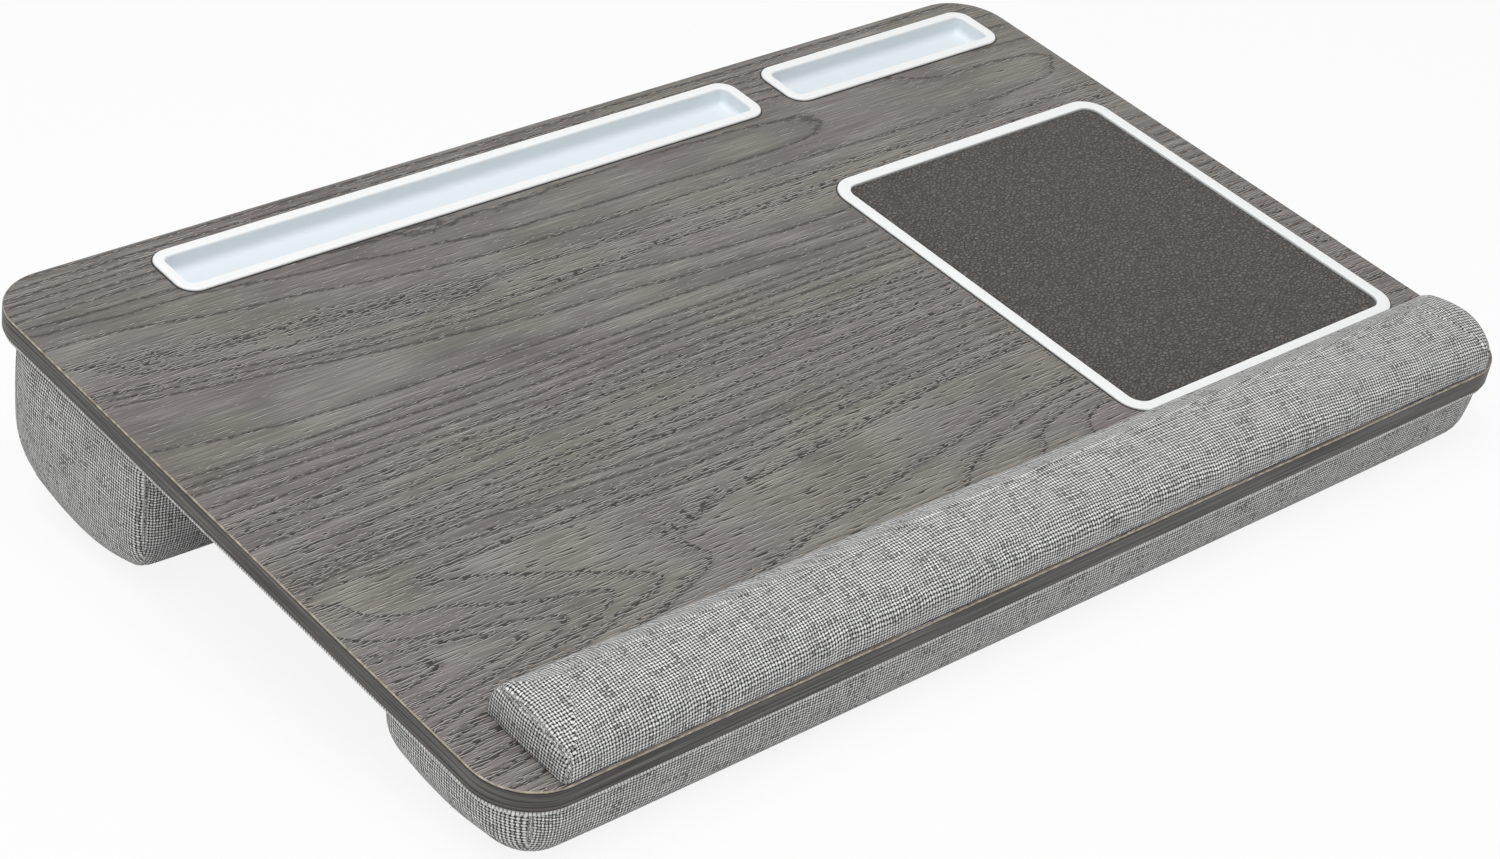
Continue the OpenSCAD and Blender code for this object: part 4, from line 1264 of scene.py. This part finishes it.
    def sew(self, piece: bpy.types.Object, which: Panel, first: int, last: int) -> None:
        """Lays the turned lips of a seam where an end panel meets the wrap.

        The seam's line goes down the wall, round the end and up again. At each point the section lies
        across it: its width along the tangent crossed with the surface's normal, its height along the
        normal.

        Args:
            piece: the cushion.
            which: the end panel.
            first: column of the seam that starts the run round the end.
            last: column at which the run ends.
        """
        n, low = self.ring_n, self.base_n
        count = (last - first) % n
        walls = np.arange(low, self.seam_ring)
        run = (first + np.arange(count + 1)) % n
        path = np.concatenate([walls * n + first, self.seam_ring * n + run, walls[::-1] * n + last % n])
        size = len(piece.data.vertices) * 3
        points, normals = np.empty(size), np.empty(size)
        piece.data.vertices.foreach_get("co", points)
        piece.data.vertex_normals.foreach_get("vector", normals)
        line, up = points.reshape(-1, 3)[path], normals.reshape(-1, 3)[path]
        ease = np.array([0.25, 0.5, 0.25])
        for _ in range(2):
            line[1:-1] = sum(w * line[i : len(line) - 2 + i] for i, w in enumerate(ease))
            up[1:-1] = sum(w * up[i : len(up) - 2 + i] for i, w in enumerate(ease))
        up /= np.linalg.norm(up, axis=1, keepdims=True)
        tangent = np.gradient(line, axis=0)
        tangent /= np.linalg.norm(tangent, axis=1, keepdims=True)
        side = np.cross(tangent, up)
        lips = np.array([(-1.4, -0.6), (-1.0, -0.1), (-0.65, 0.1), (-0.4, 0.05), (-0.12, -0.35),
                         (0.12, -0.35), (0.4, 0.05), (0.65, 0.1), (1.0, -0.1), (1.4, -0.6),
                         (0, -1.5)]) / 1000
        rings = line[:, None] + lips[None, :, :1] * side[:, None] + lips[None, :, 1:] * up[:, None]
        rows, cols = rings.shape[:2]
        quads = grid_faces(rows, cols)
        along = np.concatenate([[0], np.cumsum(np.linalg.norm(np.diff(line, axis=0), axis=1))]) * 1000
        corners = np.stack([along[quads // cols], lips[quads % cols, 0] * 1000], axis=-1).reshape(-1, 2)
        ends = [np.arange(cols)[::-1], (rows - 1) * cols + np.arange(cols)]
        corners = np.concatenate([corners, np.zeros((2 * cols, 2))])
        build_piece(f"{self.name}_{which.name.lower()}_seam", PLANE.unplace(rings.reshape(-1, 3)),
                    quads.tolist() + [e.tolist() for e in ends], corners, [SewnSeam()])


@dataclass
class Bolster(Cushion):
    """Bolster under the board. Its underside is a crown that the floor presses flat."""

    crown_drop: float = 5
    crown_half: float = 33
    press: float = 0.5
    end_fall: float = 2.5
    half_length: float = 296.2

    def level(self, x: np.ndarray, y: np.ndarray) -> np.ndarray:
        """Level of the underside: the floor's, raised by a parabola across and a steep power at the ends."""
        fall = self.crown_drop * ((y - self.crest) / self.crown_half) ** 2
        fall = fall + self.end_fall * (np.abs(x) / self.half_length) ** 14
        return PLANE.floor_level(y) + np.maximum(0, fall - self.press)


@dataclass
class WristRest(Cushion):
    """Wrist rest on the board. Its crest lies near the rear, and it falls towards the front."""

    height: float = 18.5
    fall: float = 7
    push: float = 8
    push_run: float = 70
    push_level: float = 8

    def rings(self) -> np.ndarray:
        """Works out the rings and lets the right end belly out over its base.

        The push grows with the square of the way along the last run, falls to nothing at the front and
        rear by one less the square of the share of the half depth, and is full from its level up.
        """
        rings = super().rings()
        middle, half = (self.y0 + self.y1) / 2, (self.y1 - self.y0) / 2
        along = np.clip((rings[..., 0] - self.x1 + self.push_run) / self.push_run, 0, 1) ** 2
        across = np.clip(1 - ((rings[..., 1] - middle) / half) ** 2, 0, 1)
        rings[..., 0] += self.push * along * across * np.clip(rings[..., 2] / self.push_level, 0, 1)
        return rings

    def level(self, x: np.ndarray, y: np.ndarray) -> np.ndarray:
        """Level of the upper face: the crest's, less a parabola that reaches the fall at the front."""
        return self.height - self.fall * ((y - self.crest) / (self.crest - self.y0)) ** 2


@dataclass
class Underside:
    """Fabric panel under the board, with its rolled hem."""

    width: float = 600
    depth: float = 384
    radius: float = 28
    hem_d: float = 3
    hem_inset: float = 0.7
    bottom: float = -10.6
    panel_t: float = 2.4

    def build(self) -> None:
        """Builds the panel with soft edges and the hem as a roll round it."""
        r = self.hem_d / 2
        outer = RoundRect(0, 0, self.width - 2 * self.hem_inset, self.depth - 2 * self.hem_inset,
                          self.radius - self.hem_inset, 40)
        roll = arc(r, self.bottom - r, r, 180, -150, 12)
        hem = swept_solid("rolled_hem", outer, roll, [RibbedHem()], closed=True, sharp=180)
        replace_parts(hem, "underside_hem")
        low, middle = self.bottom - self.panel_t, self.bottom - self.panel_t / 2
        section = [(2 * r + 2, self.bottom), (2 * r, self.bottom), (2 * r - 0.4, middle)]
        section += [(2 * r + 0.3, low + 0.3), (2 * r + 1.5, low), (2 * r + 6, low)]
        panel = swept_solid("underside_cloth", outer, section[::-1], [HeatherWeave()], closed=False,
                            sharp=180)
        panel.data.flip_normals()
        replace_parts(panel, "underside_panel")


def dress(node: str, finish: Finish) -> None:
    """Gives a CAD node that stays its finish.

    Args:
        node: name of the node.
        finish: its finish.
    """
    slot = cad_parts[node].material_slots[0]
    slot.link = "OBJECT"
    slot.material = finish.material()


# The studio


@dataclass(frozen=True)
class Studio:
    """Plain white studio: a floor, large soft lights and the camera of the photograph."""

    focal_px: float = 3312.1
    width_px: int = 1500
    place: tuple = (-0.91625, -0.97569, 0.75686)
    ahead: tuple = (0.59333, 0.64339, -0.48374)
    right: tuple = (0.75068, -0.65920, 0.04398)
    sky: float = 0.3
    floor_glow: float = 0.88

    @staticmethod
    def shown(tree: bpy.types.NodeTree) -> bpy.types.NodeSocket:
        """One for rays from the camera or through gloss or glass, and nothing for the rest."""
        path = add(tree, "LightPath", out=None)
        gloss = add(tree, "Math", (path.outputs["Is Glossy Ray"], path.outputs["Is Transmission Ray"]),
                    operation="MAXIMUM")
        return add(tree, "Math", (path.outputs["Is Camera Ray"], gloss), operation="MAXIMUM")

    @staticmethod
    def aim(data: bpy.types.ID, place: tuple, right: np.ndarray, ahead: np.ndarray) -> bpy.types.Object:
        """Puts a camera or lamp at a place, looking ahead. Its up is right crossed with ahead."""
        turn = np.eye(4)
        turn[:3] = np.stack([right, np.cross(right, ahead), -np.asarray(ahead), place], axis=1)
        made = bpy.data.objects.new(data.name, data)
        made.matrix_world = Matrix(turn.tolist())
        bpy.context.scene.collection.objects.link(made)
        return made

    def camera(self) -> None:
        """Sets the camera from its place and two of its directions."""
        made = bpy.data.cameras.new("camera")
        made.sensor_width = 36
        made.lens = self.focal_px / self.width_px * made.sensor_width
        made.clip_start, made.clip_end = 0.05, 50
        bpy.context.scene.camera = self.aim(made, self.place, self.right, self.ahead)

    def floor(self) -> None:
        """Lays the white floor, which the camera sees a little brighter than the lights leave it."""
        mesh = bpy.data.meshes.new("floor")
        half = 6.0
        corners = [(-half, -half, 0), (half, -half, 0), (half, half, 0), (-half, half, 0)]
        mesh.from_pydata(corners, [], [(0, 1, 2, 3)])
        made = bpy.data.objects.new("floor", mesh)
        bpy.context.scene.collection.objects.link(made)
        paint = bpy.data.materials.new("studio_floor")
        paint.use_nodes = True
        tree = paint.node_tree
        tree.nodes.clear()
        matt = add(tree, "BsdfDiffuse", {"Color": "F8F8F8"})
        glow = add(tree, "Emission", {"Color": "FFFFFF", "Strength": 1.0})
        share = add(tree, "Math", (self.shown(tree), self.floor_glow), operation="MULTIPLY")
        add(tree, "OutputMaterial", {"Surface": add(tree, "MixShader", (share, matt, glow))}, out=None)
        mesh.materials.append(paint)

    def lights(self) -> None:
        """Sets an even white sky, a large soft lamp overhead and a weak one at the front left."""
        world = bpy.data.worlds.new("sky")
        bpy.context.scene.world = world
        world.use_nodes = True
        tree = world.node_tree
        tree.nodes.clear()
        level = add(tree, "MapRange", (self.shown(tree), 0.0, 1.0, self.sky, 1.0))
        add(tree, "OutputWorld", {"Surface": add(tree, "Background", ("FFFFFF", level))}, out=None)
        for name, place, size, power in (
            ("soft_top", (-0.5, -0.3, 2.2), 2.2, 40.5), ("soft_front", (-1.6, -1.8, 1.3), 1.6, 4.5),
        ):
            lamp = bpy.data.lights.new(name, "AREA")
            lamp.shape, lamp.size, lamp.energy = "SQUARE", size, power
            ahead = -np.array(place) / np.linalg.norm(place)
            side = np.cross(ahead, (0, 0, 1))
            side /= np.linalg.norm(side)
            self.aim(lamp, place, side, ahead)

    def build(self) -> None:
        """Sets up the studio."""
        bpy.context.scene.view_settings.view_transform = "Standard"
        self.camera()
        self.floor()
        self.lights()


def main() -> None:
    """Builds the desk and its studio in order."""
    logging.basicConfig(level=logging.INFO, format="%(name)s: %(message)s")
    Studio().build()
    long_tray = RoundRect(-53.4, 162.75, 341, 34.5, 9.5)
    short_tray = RoundRect(209.6, 162.75, 146, 34.5, 9.5)
    pad = RoundRect(190.1, -27, 185, 215, 14)
    Board(cuts=[long_tray, short_tray, pad]).build()
    Tray("long_tray", long_tray).build()
    Tray("short_tray", short_tray).build()
    MousePad(pad).build()
    Underside().build()
    rear = Bolster("rear_bolster", -296.2, 296.2, 66, 172, 7, 8, 18, 18, 40, 116.88, 10.44, -13, 0.6)
    front = Bolster("front_bolster", -296.2, 296.2, -188.2, -98.2, 24.2, 14, 24, 14, 30, -163, 10.44,
                    -13, 0.6)
    rest = WristRest("wrist_rest", -276.2, 279.8, -191.2, -140.8, 3.5, 3.5, 6, 8, 12, -157.94, 2, 0, 0.3,
                     side=1, cap=2.5)
    for cushion in (rear, front, rest):
        cushion.build([f"{cushion.name}_{part}" for part in ("wrap", "left_end", "right_end")])
        dress(cushion.name + "_foam", Grained("cushion_foam", "D9D2B8", "EAE4CE", 1.2, 0.95, 0.4))
    dress("wrist_rest_strip", Grained("stiff_strip", "2B2A29", "3F3D3B", 2.0, 0.6, 0.05))


if __name__ == "__main__":
    main()
